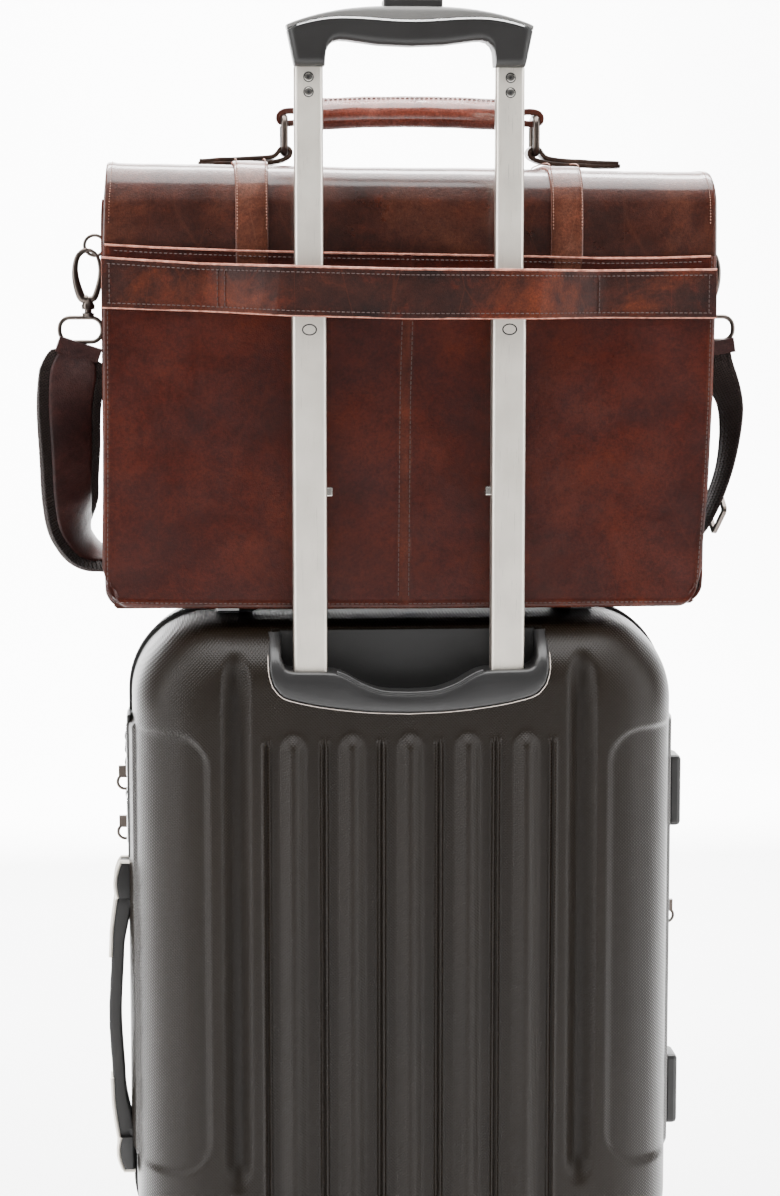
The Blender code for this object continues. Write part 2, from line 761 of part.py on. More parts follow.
def turned(outline, centre, along="Z", steps=24):
    """A solid turned from a profile of radius and height that starts and ends on its axis."""
    rings = []
    for radius, height in outline[1:-1]:
        ring = []
        for step in range(steps):
            angle = 2 * pi * step / steps
            ring.append((radius * cos(angle), radius * sin(angle), height))
        rings.append(ring)
    mesh = facing_out(loft(rings))
    if along == "X":
        mesh.transform(Matrix.Rotation(radians(90), 4, "Y"))
    mesh.transform(Matrix.Translation(centre))
    return mesh


for side_word, depth_side in (("rear", REAR), ("front", FRONT)):
    carrier_axis = lid_axis if depth_side == FRONT else None
    y = depth_side * WHEEL_Y
    y_low, y_high = sorted((depth_side * 0.046, depth_side * 0.096))
    outline = rounded_rectangle(-0.172, 0.172, y_low, y_high, 0.018)
    carrier = add_part(
        f"wheel_carrier_{side_word}",
        plate([outline], "XY", CARRIER_BOTTOM, SHELL_BOTTOM - 0.0012),
        BLACK_PLASTIC,
        axis=carrier_axis,
    )
    for side, word in ((LEFT, "left"), (RIGHT, "right")):
        x = side * WHEEL_X
        hole = turned([(0, 0), (CASTER_HOLE, 0.040), (CASTER_HOLE, 0.060), (0, 0)], (x, y, 0.0), steps=16)
        combine(carrier, f"{word}_hole", hole)
        swivel = add_axis(f"caster_axis_{side_word}_{word}", (x, y, FORK_TOP))
        if depth_side == FRONT:
            hang_on(swivel, lid_axis)
        cap = turned(
            [
                (0, 0),
                (0.0135, FORK_TOP - FORK_CAP),
                (0.0155, FORK_TOP - FORK_CAP + 0.001),
                (0.0155, FORK_TOP - 0.001),
                (0.0150, FORK_TOP),
                (STEM_RADIUS, FORK_TOP),
                (STEM_RADIUS, SHELL_BOTTOM - 0.0014),
                (0, 0),
            ],
            (x, y, 0.0),
            steps=20,
        )
        fork = add_part(f"caster_fork_{side_word}_{word}", cap, BLACK_PLASTIC, (x, y, FORK_TOP), swivel)
        axle_y = y - CASTER_TRAIL
        leg = [
            (y + 0.012, FORK_TOP - 0.0030),
            (y - 0.013, FORK_TOP - 0.0030),
            (axle_y - 0.0065, WHEEL_RADIUS - 0.0015),
            (axle_y - 0.0030, WHEEL_RADIUS - 0.0060),
            (axle_y + 0.0030, WHEEL_RADIUS - 0.0060),
            (axle_y + 0.0065, WHEEL_RADIUS - 0.0015),
        ]
        combine(fork, "leg", plate([leg], "YZ", x - LEG_HALF, x + LEG_HALF), "UNION")
        bore_radius = AXLE_RADIUS + 0.0004
        bore = turned(
            [(0, 0), (bore_radius, -0.006), (bore_radius, 0.006), (0, 0)],
            (x, axle_y, WHEEL_RADIUS),
            "X",
            16,
        )
        combine(fork, "axle_bore", bore)
        shade_round(fork)
        half = WHEEL_TREAD / 2
        disc_face = LEG_HALF + 0.0006
        tread = [
            (0, 0),
            (0.0060, -half + 0.0015),
            (0.0120, -half + 0.0008),
            (WHEEL_RADIUS - 0.0022, -half),
            (WHEEL_RADIUS, -half + 0.0022),
            (WHEEL_RADIUS, -disc_face - 0.0010),
            (WHEEL_RADIUS - 0.0010, -disc_face),
            (AXLE_RADIUS, -disc_face),
            (AXLE_RADIUS, disc_face),
            (WHEEL_RADIUS - 0.0010, disc_face),
            (WHEEL_RADIUS, disc_face + 0.0010),
            (WHEEL_RADIUS, half - 0.0022),
            (WHEEL_RADIUS - 0.0022, half),
            (0.0120, half - 0.0008),
            (0.0060, half - 0.0015),
            (0, 0),
        ]
        axle_axis = add_axis(f"wheel_axis_{side_word}_{word}", (x, axle_y, WHEEL_RADIUS))
        hang_on(axle_axis, swivel)
        wheel = add_part(
            f"caster_wheel_{side_word}_{word}",
            turned(tread, (x, axle_y, WHEEL_RADIUS), "X", 24),
            RUBBER,
            (x, axle_y, WHEEL_RADIUS),
            axle_axis,
        )
        shade_round(wheel)


# Leather case. It slides up off the tubes, so all of it hangs on one axis
case_axis = add_axis("laptop_case_axis", (0.0, HANDLE_Y, CASE_BOTTOM))


def panel_outline(top, inset=0.0):
    """A panel's outline in X and Z, with round lower corners."""
    half = CASE_HALF_WIDTH - inset
    bottom = CASE_BOTTOM + inset
    radius = 0.014
    low = arc((half - radius, bottom + radius), radius, -90, 0, 3)
    high = arc((half - 0.008, top - 0.008), 0.008, 0, 90, 2)
    right = [*low, *high]
    return [*right, *mirrored(reversed(right))]


add_part(
    "case_rear_panel",
    plate([panel_outline(CASE_TOP)], "XZ", CASE_REAR, CASE_REAR + LEATHER),
    BROWN_LEATHER,
    axis=case_axis,
)
add_part(
    "case_front_panel",
    plate([panel_outline(0.806, 0.0012)], "XZ", CASE_FRONT - LEATHER, CASE_FRONT),
    BROWN_LEATHER,
    axis=case_axis,
)
GUSSET_INSET = 0.0035
GUSSET_TOP = 0.838
gusset_half = CASE_HALF_WIDTH - GUSSET_INSET
low_corner = arc((gusset_half - 0.014, CASE_BOTTOM + GUSSET_INSET + 0.014), 0.014, -90, 0, 3)
inner_corner = arc((gusset_half - 0.014, CASE_BOTTOM + GUSSET_INSET + 0.014), 0.0115, -90, 0, 3)
outer_side = [*low_corner, (gusset_half, GUSSET_TOP)]
inner_side = [*inner_corner, (gusset_half - 0.0025, GUSSET_TOP)]
gusset_outline = [*mirrored(reversed(outer_side)), *outer_side, *reversed(inner_side), *mirrored(inner_side)]
add_part(
    "case_gusset",
    plate([gusset_outline], "XZ", CASE_REAR + LEATHER + GAP, CASE_FRONT - LEATHER - GAP),
    BROWN_LEATHER,
    axis=case_axis,
)
divider = add_part(
    "laptop_divider",
    box(-0.192, 0.192, -0.050, -0.044, CASE_BOTTOM + 0.0075, 0.790),
    LINING,
    axis=case_axis,
)
bevel(divider, 0.0015, 1)
add_part(
    "rear_pocket",
    plate([panel_outline(POCKET_TOP, 0.003)], "XZ", CASE_REAR - 0.0035, CASE_REAR - GAP),
    BROWN_LEATHER,
    axis=case_axis,
)

# The band that slides over the tubes, sewn down beside them
SLEEVE_HALF = 0.130
band_back = CASE_REAR - 0.0035 - GAP
band_side = [
    (0.0865, BAND_FRONT),
    (SLEEVE_HALF, band_back),
    (CASE_HALF_WIDTH - 0.003, band_back),
    (CASE_HALF_WIDTH - 0.003, band_back - BAND_THICKNESS),
    (SLEEVE_HALF - 0.001, band_back - BAND_THICKNESS),
    (0.0875, BAND_FRONT - BAND_THICKNESS),
]
band_outline = [*band_side, *mirrored(reversed(band_side))]
add_part("trolley_band", plate([band_outline], "XY", BAND_BOTTOM, BAND_TOP), BELT_LEATHER, axis=case_axis)

# The flap turns on the rear panel's top edge; its belts, tabs, rings and handle turn with it
FLAP_Y = CASE_REAR + 0.0005
flap_origin = (0.0, FLAP_Y, CASE_TOP + GAP)
flap_axis = add_axis("flap_axis", flap_origin)
hang_on(flap_axis, case_axis)


def over_the_top(clearance, thickness, front_bottom):
    """A strip's outline in Y and Z that runs over the top of the case and down its front."""
    inner = over_line(clearance, front_bottom)
    outer = over_line(clearance + thickness, front_bottom)
    return [*inner, *reversed(outer)]


def over_line(offset, front_bottom):
    """One face of such a strip, at a distance from the case."""
    top = CASE_TOP + GAP + offset
    front = CASE_FRONT + GAP + offset
    radius = 0.020 + offset
    corner = arc((CASE_FRONT + GAP - 0.020, CASE_TOP + GAP - 0.020), radius, 90, 0, 4)
    return [(FLAP_Y, top), *corner, (front, front_bottom)]


add_part(
    "flap",
    plate([over_the_top(0.0, FLAP_LEATHER, FLAP_FRONT_BOTTOM)], "YZ", FLAP_LEFT, FLAP_RIGHT),
    BROWN_LEATHER,
    flap_origin,
    flap_axis,
)
BELT_BOTTOM = 0.655
belt_clearance = FLAP_LEATHER + GAP
for x, word in zip(BELT_X, ("left", "right")):
    outline = over_the_top(belt_clearance, BELT_THICKNESS, BELT_BOTTOM)
    mesh = plate([outline], "YZ", x - BELT_WIDTH / 2, x + BELT_WIDTH / 2)
    add_part(f"belt_{word}", mesh, BELT_LEATHER, flap_origin, flap_axis)
    buckle_outer = rounded_rectangle(x - 0.019, x + 0.019, BELT_BOTTOM - 0.036, BELT_BOTTOM - GAP, 0.004, 3)
    buckle_inner = rounded_rectangle(x - 0.013, x + 0.013, BELT_BOTTOM - 0.030, BELT_BOTTOM - 0.008, 0.002, 3)
    buckle_back = CASE_FRONT + 2 * GAP + FLAP_LEATHER
    mesh = plate([buckle_outer, buckle_inner], "XZ", buckle_back, buckle_back + 0.003)
    add_part(f"belt_buckle_{word}", mesh, GUNMETAL, flap_origin, flap_axis)

# Carry handle: each tab on the flap folds round the lower bar of an upright ring, and the
# handle's end loops hold the upper bars
RING_WIRE = 0.0024
RING_HALF_DEPTH = 0.0130
LOOP_INNER = 0.0022
LOOP_OUTER = 0.0046
HANDLE_HALF_DEPTH = 0.0090
TAB_BOTTOM = CASE_TOP + GAP + belt_clearance + BELT_THICKNESS + GAP
TAB_THICKNESS = 0.0030
TAB_ENDS = (-0.1430, 0.1590)
LOOP_STEPS = 8


def circle(centre, radius, steps=12):
    """A closed circle."""
    return arc(centre, radius, 0, 360 * (steps - 1) / steps, steps - 1)


def tab_outline(ring_x, end_x):
    """A tab in X and Z: a flat strip from its end to a loop round the ring's lower bar."""
    side = 1 if ring_x > end_x else -1
    top = TAB_BOTTOM + TAB_THICKNESS
    loop = arc((0.0, RING_LOW_Z), LOOP_OUTER, -88, 195, LOOP_STEPS)
    reach = abs(end_x - ring_x)
    outline = [(-reach, TAB_BOTTOM), (-0.004, TAB_BOTTOM), *loop, (-0.008, top), (-reach, top)]
    return [(ring_x + side * x, z) for x, z in outline]


for x, end_x, word in zip(RING_X, TAB_ENDS, ("left", "right")):
    tab = plate(
        [tab_outline(x, end_x), circle((x, RING_LOW_Z), LOOP_INNER)],
        "XZ",
        CARRY_Y - HANDLE_HALF_DEPTH,
        CARRY_Y + HANDLE_HALF_DEPTH,
    )
    add_part(f"handle_tab_{word}", tab, BELT_LEATHER, flap_origin, flap_axis)
    half = RING_WIRE / 2
    outer = rounded_rectangle(
        CARRY_Y - RING_HALF_DEPTH,
        CARRY_Y + RING_HALF_DEPTH,
        RING_LOW_Z - half,
        RING_HIGH_Z + half,
        0.0040,
        3,
    )
    inner = rounded_rectangle(
        CARRY_Y - RING_HALF_DEPTH + RING_WIRE,
        CARRY_Y + RING_HALF_DEPTH - RING_WIRE,
        RING_LOW_Z + half,
        RING_HIGH_Z - half,
        0.0016,
        2,
    )
    pivot = (x, CARRY_Y, RING_LOW_Z)
    ring_axis = add_axis(f"handle_ring_axis_{word}", pivot)
    hang_on(ring_axis, flap_axis)
    ring = plate([outer, inner], "YZ", x - half, x + half)
    add_part(f"handle_ring_{word}", ring, GUNMETAL, pivot, ring_axis)

LEFT_LOOP, RIGHT_LOOP = ((x, RING_HIGH_Z) for x in RING_X)
HANDLE_LOOP = 0.0050
handle_outline = [
    *arc(LEFT_LOOP, HANDLE_LOOP, 75, 285, LOOP_STEPS),
    (RING_X[0] + 0.011, 0.8815),
    (RING_X[0] + 0.045, 0.8795),
    (sum(RING_X) / 2, 0.8790),
    (RING_X[1] - 0.045, 0.8795),
    (RING_X[1] - 0.011, 0.8815),
    *arc(RIGHT_LOOP, HANDLE_LOOP, -105, 105, LOOP_STEPS),
    (RING_X[1] - 0.009, 0.8960),
    (RING_X[1] - 0.018, 0.9000),
    (RING_X[1] - 0.050, 0.9010),
    (sum(RING_X) / 2, 0.9015),
    (RING_X[0] + 0.050, 0.9010),
    (RING_X[0] + 0.018, 0.9000),
    (RING_X[0] + 0.009, 0.8960),
]
carry_pivot = (RING_X[0], CARRY_Y, RING_HIGH_Z)
carry_axis = add_axis("carry_handle_axis", carry_pivot)
hang_on(carry_axis, bpy.data.objects["handle_ring_axis_left"])
add_part(
    "carry_handle",
    plate(
        [handle_outline, circle(LEFT_LOOP, LOOP_INNER), circle(RIGHT_LOOP, LOOP_INNER)],
        "XZ",
        CARRY_Y - HANDLE_HALF_DEPTH,
        CARRY_Y + HANDLE_HALF_DEPTH,
    ),
    BELT_LEATHER,
    carry_pivot,
    carry_axis,
)

# Shoulder strap: it hangs from a ring on each side and runs round the front of the case
SIDE_RING_X = 0.2165
SIDE_RING_RADIUS = 0.0085
SIDE_WIRE = 0.0012
HOOK_INNER_X = 0.2115
HOOK_OUTER_X = 0.2317
HOOK_TOP = 0.7955
HOOK_BOTTOM = 0.7565
HOOK_WIRE = 0.0030
STRAP_RING = (0.2105, 0.2435, 0.7340, 0.7475)
NECK = (0.2190, 0.2242)
strap_pivot = (0.0, SIDE_RING_Y, SIDE_RING_Z - SIDE_RING_RADIUS)
strap_axis = add_axis("shoulder_strap_axis", strap_pivot)
hang_on(strap_axis, case_axis)


def hook_outlines(side):
    """A snap hook's loop, neck and strap ring in X and Z, with two holes."""
    loop = rounded_rectangle(HOOK_INNER_X, HOOK_OUTER_X, HOOK_BOTTOM, HOOK_TOP, 0.0055, 4)
    ring_left, ring_right, ring_low, ring_high = STRAP_RING
    frame = rounded_rectangle(ring_left, ring_right, ring_low, ring_high, 0.0030, 2)
    outer = [
        (NECK[1], ring_high),
        (NECK[1], HOOK_BOTTOM),
        *loop,
        (NECK[0], HOOK_BOTTOM),
        (NECK[0], ring_high),
        *frame[6:],
        *frame[:6],
    ]
    eye = rounded_rectangle(
        HOOK_INNER_X + HOOK_WIRE,
        HOOK_OUTER_X - HOOK_WIRE,
        HOOK_BOTTOM + HOOK_WIRE,
        HOOK_TOP - HOOK_WIRE,
        0.0025,
        3,
    )
    slot = rounded_rectangle(ring_left + 0.0030, ring_right - 0.0030, ring_low + 0.0028, ring_high - 0.0028, 0.001, 2)
    return [[(side * x, z) for x, z in outline] for outline in (outer, eye, slot)]


for side, word in ((LEFT, "left"), (RIGHT, "right")):
    ring = torus((side * SIDE_RING_X, SIDE_RING_Y, SIDE_RING_Z), SIDE_RING_RADIUS, SIDE_WIRE)
    ring_part = add_part(f"side_ring_{word}", ring, GUNMETAL, axis=case_axis)
    tab_x = sorted((side * (gusset_half + GAP), side * (SIDE_RING_X + 0.0016)))
    tab = box(*tab_x, SIDE_RING_Y - 0.007, SIDE_RING_Y + 0.007, SIDE_RING_Z + 0.0060, SIDE_RING_Z + 0.034)
    combine(ring_part, "tab", tab, "UNION")
    shade_round(ring_part)
    hook = plate(hook_outlines(side), "XZ", SIDE_RING_Y - 0.0015, SIDE_RING_Y + 0.0015)
    add_part(f"snap_hook_{word}", hook, GUNMETAL, strap_pivot, strap_axis)

# The strap's route: x, y, z and the angle of its width from the X axis, in degrees
STRAP_END_X = (STRAP_RING[0] + STRAP_RING[1]) / 2
STRAP_END_Z = STRAP_RING[2] - 0.0055
STRAP_ROUTE = [
    Vector((-STRAP_END_X, SIDE_RING_Y, STRAP_END_Z, 0)),
    Vector((-0.2315, -0.0185, 0.714, 4)),
    Vector((-0.2358, -0.0130, 0.685, 24)),
    Vector((-0.2360, -0.0030, 0.650, 34)),
    Vector((-0.2364, 0.0130, 0.618, 45)),
    Vector((-0.2335, 0.0360, 0.593, 60)),
    Vector((-0.2220, 0.0610, 0.5745, 75)),
    Vector((-0.1980, 0.0760, 0.5620, 86)),
    Vector((-0.1500, 0.0780, 0.5560, 90)),
    Vector((-0.0600, 0.0780, 0.5555, 90)),
    Vector((0.0600, 0.0780, 0.5550, 90)),
    Vector((0.1500, 0.0760, 0.5555, 90)),
    Vector((0.1970, 0.0680, 0.5610, 92)),
    Vector((0.2240, 0.0490, 0.5790, 96)),
    Vector((0.2360, 0.0250, 0.6050, 100)),
    Vector((0.2430, 0.0050, 0.6400, 105)),
    Vector((0.2425, -0.0110, 0.6800, 125)),
    Vector((0.2305, -0.0185, 0.7100, 172)),
    Vector((STRAP_END_X, SIDE_RING_Y, STRAP_END_Z, 180)),
]
ROUTE_STEPS = 3


def strap_sections(route):
    """Along the route: its points, and at each the directions of the width and of the outer face."""
    sections = []
    curve = smooth(route, ROUTE_STEPS)
    for index, point in enumerate(curve):
        before = curve[max(index - 1, 0)].to_3d()
        after = curve[min(index + 1, len(curve) - 1)].to_3d()
        along = (after - before).normalized()
        angle = radians(point[3])
        across = Vector((cos(angle), sin(angle), 0.0))
        across = (across - along * across.dot(along)).normalized()
        sections.append((point.to_3d(), across, across.cross(along)))
    return sections


def ribbon(sections, width, thickness, offset=0.0, tip=1.0):
    """A flat band along sections, with narrower ends where tip is below 1."""
    rings = []
    last = len(sections) - 1
    for index, (point, across, outward) in enumerate(sections):
        from_end = min(index, last - index)
        share = min(1.0, tip + (1.0 - tip) * from_end / 2)
        half = across * (width / 2 * share)
        low = outward * (offset - thickness / 2)
        high = outward * (offset + thickness / 2)
        middle = point
        rings.append([middle - half + low, middle + half + low, middle + half + high, middle - half + high])
    return facing_out(loft(rings))


strap_line = strap_sections(STRAP_ROUTE)
add_part("shoulder_strap", ribbon(strap_line, STRAP_WIDTH, STRAP_THICKNESS), WEBBING, strap_pivot, strap_axis)
PAD_SPAN = (2, 8 * ROUTE_STEPS + 2)
pad_offset = (STRAP_THICKNESS + PAD_THICKNESS) / 2 + GAP
add_part(
    "shoulder_pad",
    ribbon(strap_line[PAD_SPAN[0] : PAD_SPAN[1]], PAD_WIDTH, PAD_THICKNESS, pad_offset, 0.55),
    PAD_LEATHER,
    strap_pivot,
    strap_axis,
)

# The strap's buckle, on its outer face low on the right side
BUCKLE_AT = 14 * ROUTE_STEPS
buckle_point, buckle_across, buckle_out = strap_line[BUCKLE_AT]
buckle_along = buckle_out.cross(buckle_across)
buckle_frame = Matrix.Identity(4)
for column, direction in enumerate((buckle_across, buckle_along, buckle_out)):
    buckle_frame[0][column], buckle_frame[1][column], buckle_frame[2][column] = direction
buckle_frame.translation = buckle_point
outer = rounded_rectangle(-0.0180, 0.0180, -0.0130, 0.0130, 0.004, 3)
inner = rounded_rectangle(-0.0140, 0.0140, -0.0090, 0.0090, 0.002, 3)
buckle_low = STRAP_THICKNESS / 2 + 0.0015
buckle_mesh = plate([outer, inner], "XY", buckle_low, buckle_low + 0.0028)
buckle_mesh.transform(buckle_frame)
add_part("strap_buckle", facing_out(buckle_mesh), GUNMETAL, strap_pivot, strap_axis)

zip_pull("expander_zip_pull", RIGHT, -0.0095, 0.325, "expander_pull_axis")
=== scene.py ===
"""Looks of the rolling laptop case: a leather flap briefcase on a ribbed hard-shell cabin case."""

from itertools import product
from math import ceil, cos, exp, hypot, pi, radians, sin, sqrt

import bmesh
import bpy
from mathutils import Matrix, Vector, noise


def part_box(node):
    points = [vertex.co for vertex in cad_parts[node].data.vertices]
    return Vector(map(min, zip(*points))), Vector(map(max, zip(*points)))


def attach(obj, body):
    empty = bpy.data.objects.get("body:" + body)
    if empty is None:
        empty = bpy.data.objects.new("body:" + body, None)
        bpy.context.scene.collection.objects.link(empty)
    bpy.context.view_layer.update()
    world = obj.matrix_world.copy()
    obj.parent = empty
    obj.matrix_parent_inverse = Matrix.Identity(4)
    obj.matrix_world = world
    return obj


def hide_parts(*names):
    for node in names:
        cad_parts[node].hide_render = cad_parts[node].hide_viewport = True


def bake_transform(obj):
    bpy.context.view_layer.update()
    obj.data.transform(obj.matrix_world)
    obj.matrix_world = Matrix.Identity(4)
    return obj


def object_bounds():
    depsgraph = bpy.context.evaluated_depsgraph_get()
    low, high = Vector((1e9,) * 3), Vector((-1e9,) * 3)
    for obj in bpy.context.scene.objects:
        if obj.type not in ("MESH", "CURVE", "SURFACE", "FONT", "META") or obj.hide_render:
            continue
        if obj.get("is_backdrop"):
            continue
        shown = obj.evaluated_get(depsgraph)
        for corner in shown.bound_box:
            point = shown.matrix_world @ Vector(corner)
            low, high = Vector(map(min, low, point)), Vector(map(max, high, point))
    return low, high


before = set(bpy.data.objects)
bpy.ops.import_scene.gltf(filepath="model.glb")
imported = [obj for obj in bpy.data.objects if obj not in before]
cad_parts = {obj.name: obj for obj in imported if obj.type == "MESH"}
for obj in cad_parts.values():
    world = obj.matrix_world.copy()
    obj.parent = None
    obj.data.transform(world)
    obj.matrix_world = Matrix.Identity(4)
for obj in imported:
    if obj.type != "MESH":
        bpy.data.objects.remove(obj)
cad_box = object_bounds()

scene = bpy.context.scene
UP = Vector((0.0, 0.0, 1.0))
SIDEWAYS = Vector((1.0, 0.0, 0.0))
FORWARD = Vector((0.0, 1.0, 0.0))
BACKWARD = Vector((0.0, -1.0, 0.0))


# Camera, lights and floor
def add_camera():
    """The view from behind the handle, a little from the left and from above."""
    data = bpy.data.cameras.new("camera")
    data.lens = 82.35
    data.sensor_width = 36.0
    data.sensor_fit = "AUTO"
    camera = bpy.data.objects.new("camera", data)
    camera.location = (-0.16126, -1.98228, 0.78534)
    yaw, pitch = radians(4.5), radians(7.0)
    ahead = Vector((sin(yaw) * cos(pitch), cos(yaw) * cos(pitch), -sin(pitch)))
    camera.rotation_euler = ahead.to_track_quat("-Z", "Y").to_euler()
    scene.collection.objects.link(camera)
    scene.camera = camera


def add_area_light(name, place, target, size, power, colour=(1.0, 1.0, 1.0)):
    """A soft rectangular light that faces a target."""
    data = bpy.data.lights.new(name, "AREA")
    data.shape = "RECTANGLE"
    data.size, data.size_y = size
    data.energy = power
    data.color = colour
    light = bpy.data.objects.new(name, data)
    light.location = place
    aim = Vector(target) - Vector(place)
    light.rotation_euler = aim.to_track_quat("-Z", "Y").to_euler()
    scene.collection.objects.link(light)


def add_studio():
    """A pale sweep with its own lights, and soft boxes above, at the left and at the right."""
    world = bpy.data.worlds.new("studio")
    world.use_nodes = True
    background = world.node_tree.nodes["Background"]
    background.inputs["Color"].default_value = (1.0, 1.0, 1.0, 1.0)
    background.inputs["Strength"].default_value = 0.13
    scene.world = world
    add_area_light("top_box", (0.0, -0.35, 2.15), (0.0, -0.34, 0.0), (2.4, 1.5), 150)
    add_area_light("left_box", (-2.3, -0.85, 1.3), (0.0, 0.0, 0.50), (0.8, 1.6), 62)
    add_area_light("right_box", (2.4, -0.85, 1.3), (0.0, 0.0, 0.50), (0.8, 1.6), 54)
    add_area_light("front_fill", (-0.4, -3.0, 2.7), (0.0, 0.0, 0.65), (2.6, 1.2), 9)
    add_area_light("backdrop_low", (0.0, 1.0, 2.6), (0.0, 2.6, 0.0), (2.6, 0.8), 560)
    add_area_light("backdrop_high", (0.0, 1.3, 0.9), (0.0, 3.7, 1.6), (2.8, 0.6), 400)
    add_area_light("left_strip", (-1.9, -1.3, 0.30), (0.0, 0.0, 0.28), (0.22, 1.0), 9)
    add_area_light("right_strip", (1.9, -1.3, 0.30), (0.0, 0.0, 0.28), (0.22, 1.0), 9)
    shape = bmesh.new()
    turn_y, turn_radius = 2.2, 1.4
    profile = [(-6.0, 0.0), (turn_y, 0.0)]
    for step in range(1, 13):
        angle = radians(90 * step / 12)
        profile.append((turn_y + turn_radius * sin(angle), turn_radius - turn_radius * cos(angle)))
    profile.append((turn_y + turn_radius, 6.0))
    rows = [[shape.verts.new((x, y, z)) for y, z in profile] for x in (-7.0, 7.0)]
    for index in range(len(profile) - 1):
        shape.faces.new((rows[0][index], rows[1][index], rows[1][index + 1], rows[0][index + 1]))
    mesh = bpy.data.meshes.new("floor")
    shape.to_mesh(mesh)
    shape.free()
    mesh.shade_smooth()
    floor = bpy.data.objects.new("floor", mesh)
    scene.collection.objects.link(floor)
    material, tree, shader = new_material("pale_floor", 0.8)
    noise_colour = texture(tree, NOISE, 3.0, Detail=3.0)
    ramp(tree, noise_colour, [(0.3, 0.90), (0.7, 0.94)], shader.inputs["Base Color"])
    mesh.materials.append(material)
    floor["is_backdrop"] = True


# Material helpers
NOISE, CELLS = "ShaderNodeTexNoise", "ShaderNodeTexVoronoi"


def new_material(name, roughness, metallic=0.0):
    """A node material, its node tree and its Principled shader."""
    material = bpy.data.materials.new(name)
    material.use_nodes = True
    shader = material.node_tree.nodes["Principled BSDF"]
    shader.inputs["Roughness"].default_value = roughness
    shader.inputs["Metallic"].default_value = metallic
    return material, material.node_tree, shader


def stretched(tree, scale, turn=(0.0, 0.0, 0.0)):
    """Object coordinates with a scale along each axis."""
    place = tree.nodes.new("ShaderNodeTexCoord")
    mapping = tree.nodes.new("ShaderNodeMapping")
    mapping.inputs["Scale"].default_value = scale
    mapping.inputs["Rotation"].default_value = turn
    tree.links.new(place.outputs["Object"], mapping.inputs["Vector"])
    return mapping.outputs["Vector"]


def texture(tree, kind, scale, stretch=(1.0, 1.0, 1.0), turn=(0.0, 0.0, 0.0), output=0, **values):
    """A texture over object coordinates; returns one of its outputs."""
    node = tree.nodes.new(kind)
    tree.links.new(stretched(tree, stretch, turn), node.inputs["Vector"])
    node.inputs["Scale"].default_value = scale
    for key, value in values.items():
        if key in node.inputs:
            node.inputs[key].default_value = value
        else:
            setattr(node, key, value)
    return node.outputs[output]


def ramp(tree, source, stops, target=None):
    """A colour ramp; each stop is a position and a colour or a grey level."""
    node = tree.nodes.new("ShaderNodeValToRGB")
    elements = node.color_ramp.elements
    while len(elements) < len(stops):
        elements.new(0.5)
    for element, (position, colour) in zip(elements, stops):
        if not hasattr(colour, "__len__"):
            colour = (colour, colour, colour)
        element.position = position
        element.color = (*colour, 1.0)
    tree.links.new(source, node.inputs["Fac"])
    if target:
        tree.links.new(node.outputs["Color"], target)
    return node.outputs["Color"]


def mix(tree, factor, first, second, target=None, mode="MIX"):
    """A colour mix; factor, first and second are sockets, colours or numbers."""
    node = tree.nodes.new("ShaderNodeMix")
    node.data_type = "RGBA"
    node.blend_type = mode
    for value, socket in ((factor, node.inputs[0]), (first, node.inputs[6]), (second, node.inputs[7])):
        if isinstance(value, bpy.types.NodeSocket):
            tree.links.new(value, socket)
        elif hasattr(value, "__len__"):
            socket.default_value = (*value, 1.0)
        else:
            socket.default_value = value
    if target:
        tree.links.new(node.outputs[2], target)
    return node.outputs[2]


def calculate(tree, operation, first, second=0.5):
    """A math node on sockets or numbers."""
    node = tree.nodes.new("ShaderNodeMath")
    node.operation = operation
    for index, value in enumerate((first, second)):
        if isinstance(value, bpy.types.NodeSocket):
            tree.links.new(value, node.inputs[index])
        else:
            node.inputs[index].default_value = value
    return node.outputs[0]


def bump(tree, shader, layers):
    """Bumps stacked on the shader's normal; each layer is a height, its depth and a strength."""
    normal = None
    for height, distance, strength in layers:
        node = tree.nodes.new("ShaderNodeBump")
        node.inputs["Distance"].default_value = distance
        node.inputs["Strength"].default_value = strength
        tree.links.new(height, node.inputs["Height"])
        if normal:
            tree.links.new(normal, node.inputs["Normal"])
        normal = node.outputs["Normal"]
    tree.links.new(normal, shader.inputs["Normal"])


def linear(red, green, blue):
    """A display colour, 0 to 255, as the linear colour that shaders use."""
    result = []
    for value in (red, green, blue):
        share = value / 255
        result.append(share / 12.92 if share <= 0.04045 else ((share + 0.055) / 1.055) ** 2.4)
    return tuple(result)


# Mesh helpers
def add_piece(name, mesh, body, material, replaced=(), smooth_angle=40):
    """A piece of the object that rides on a body."""
    if smooth_angle:
        mesh.shade_smooth()
        mesh.set_sharp_from_angle(angle=radians(smooth_angle))
    for each in material if isinstance(material, (list, tuple)) else [material]:
        mesh.materials.append(each)
    piece = bpy.data.objects.new(name, mesh)
    scene.collection.objects.link(piece)
    if body:
        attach(piece, body)
    if replaced:
        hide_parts(*replaced)
    return piece


def finished(shape, name, facing=True):
    """A mesh from a bmesh."""
    if facing:
        bmesh.ops.recalc_face_normals(shape, faces=shape.faces)
    mesh = bpy.data.meshes.new(name)
    shape.to_mesh(mesh)
    shape.free()
    return mesh


def add_shape(name, shape, body, material, replaced=(), smooth_angle=40):
    """A piece made straight from a bmesh."""
    return add_piece(name, finished(shape, name), body, material, replaced, smooth_angle)


def grid_into(shape, rows, round_rows=False, round_columns=False):
    """Adds a grid of quads over rows of points to a bmesh, and returns its vertices."""
    levels = [[shape.verts.new(point) for point in row] for row in rows]
    count = len(levels)
    width = len(levels[0])
    for index in range(count if round_rows else count - 1):
        lower, upper = levels[index], levels[(index + 1) % count]
        for column in range(width if round_columns else width - 1):
            beside = (column + 1) % width
            shape.faces.new((lower[column], lower[beside], upper[beside], upper[column]))
    return levels


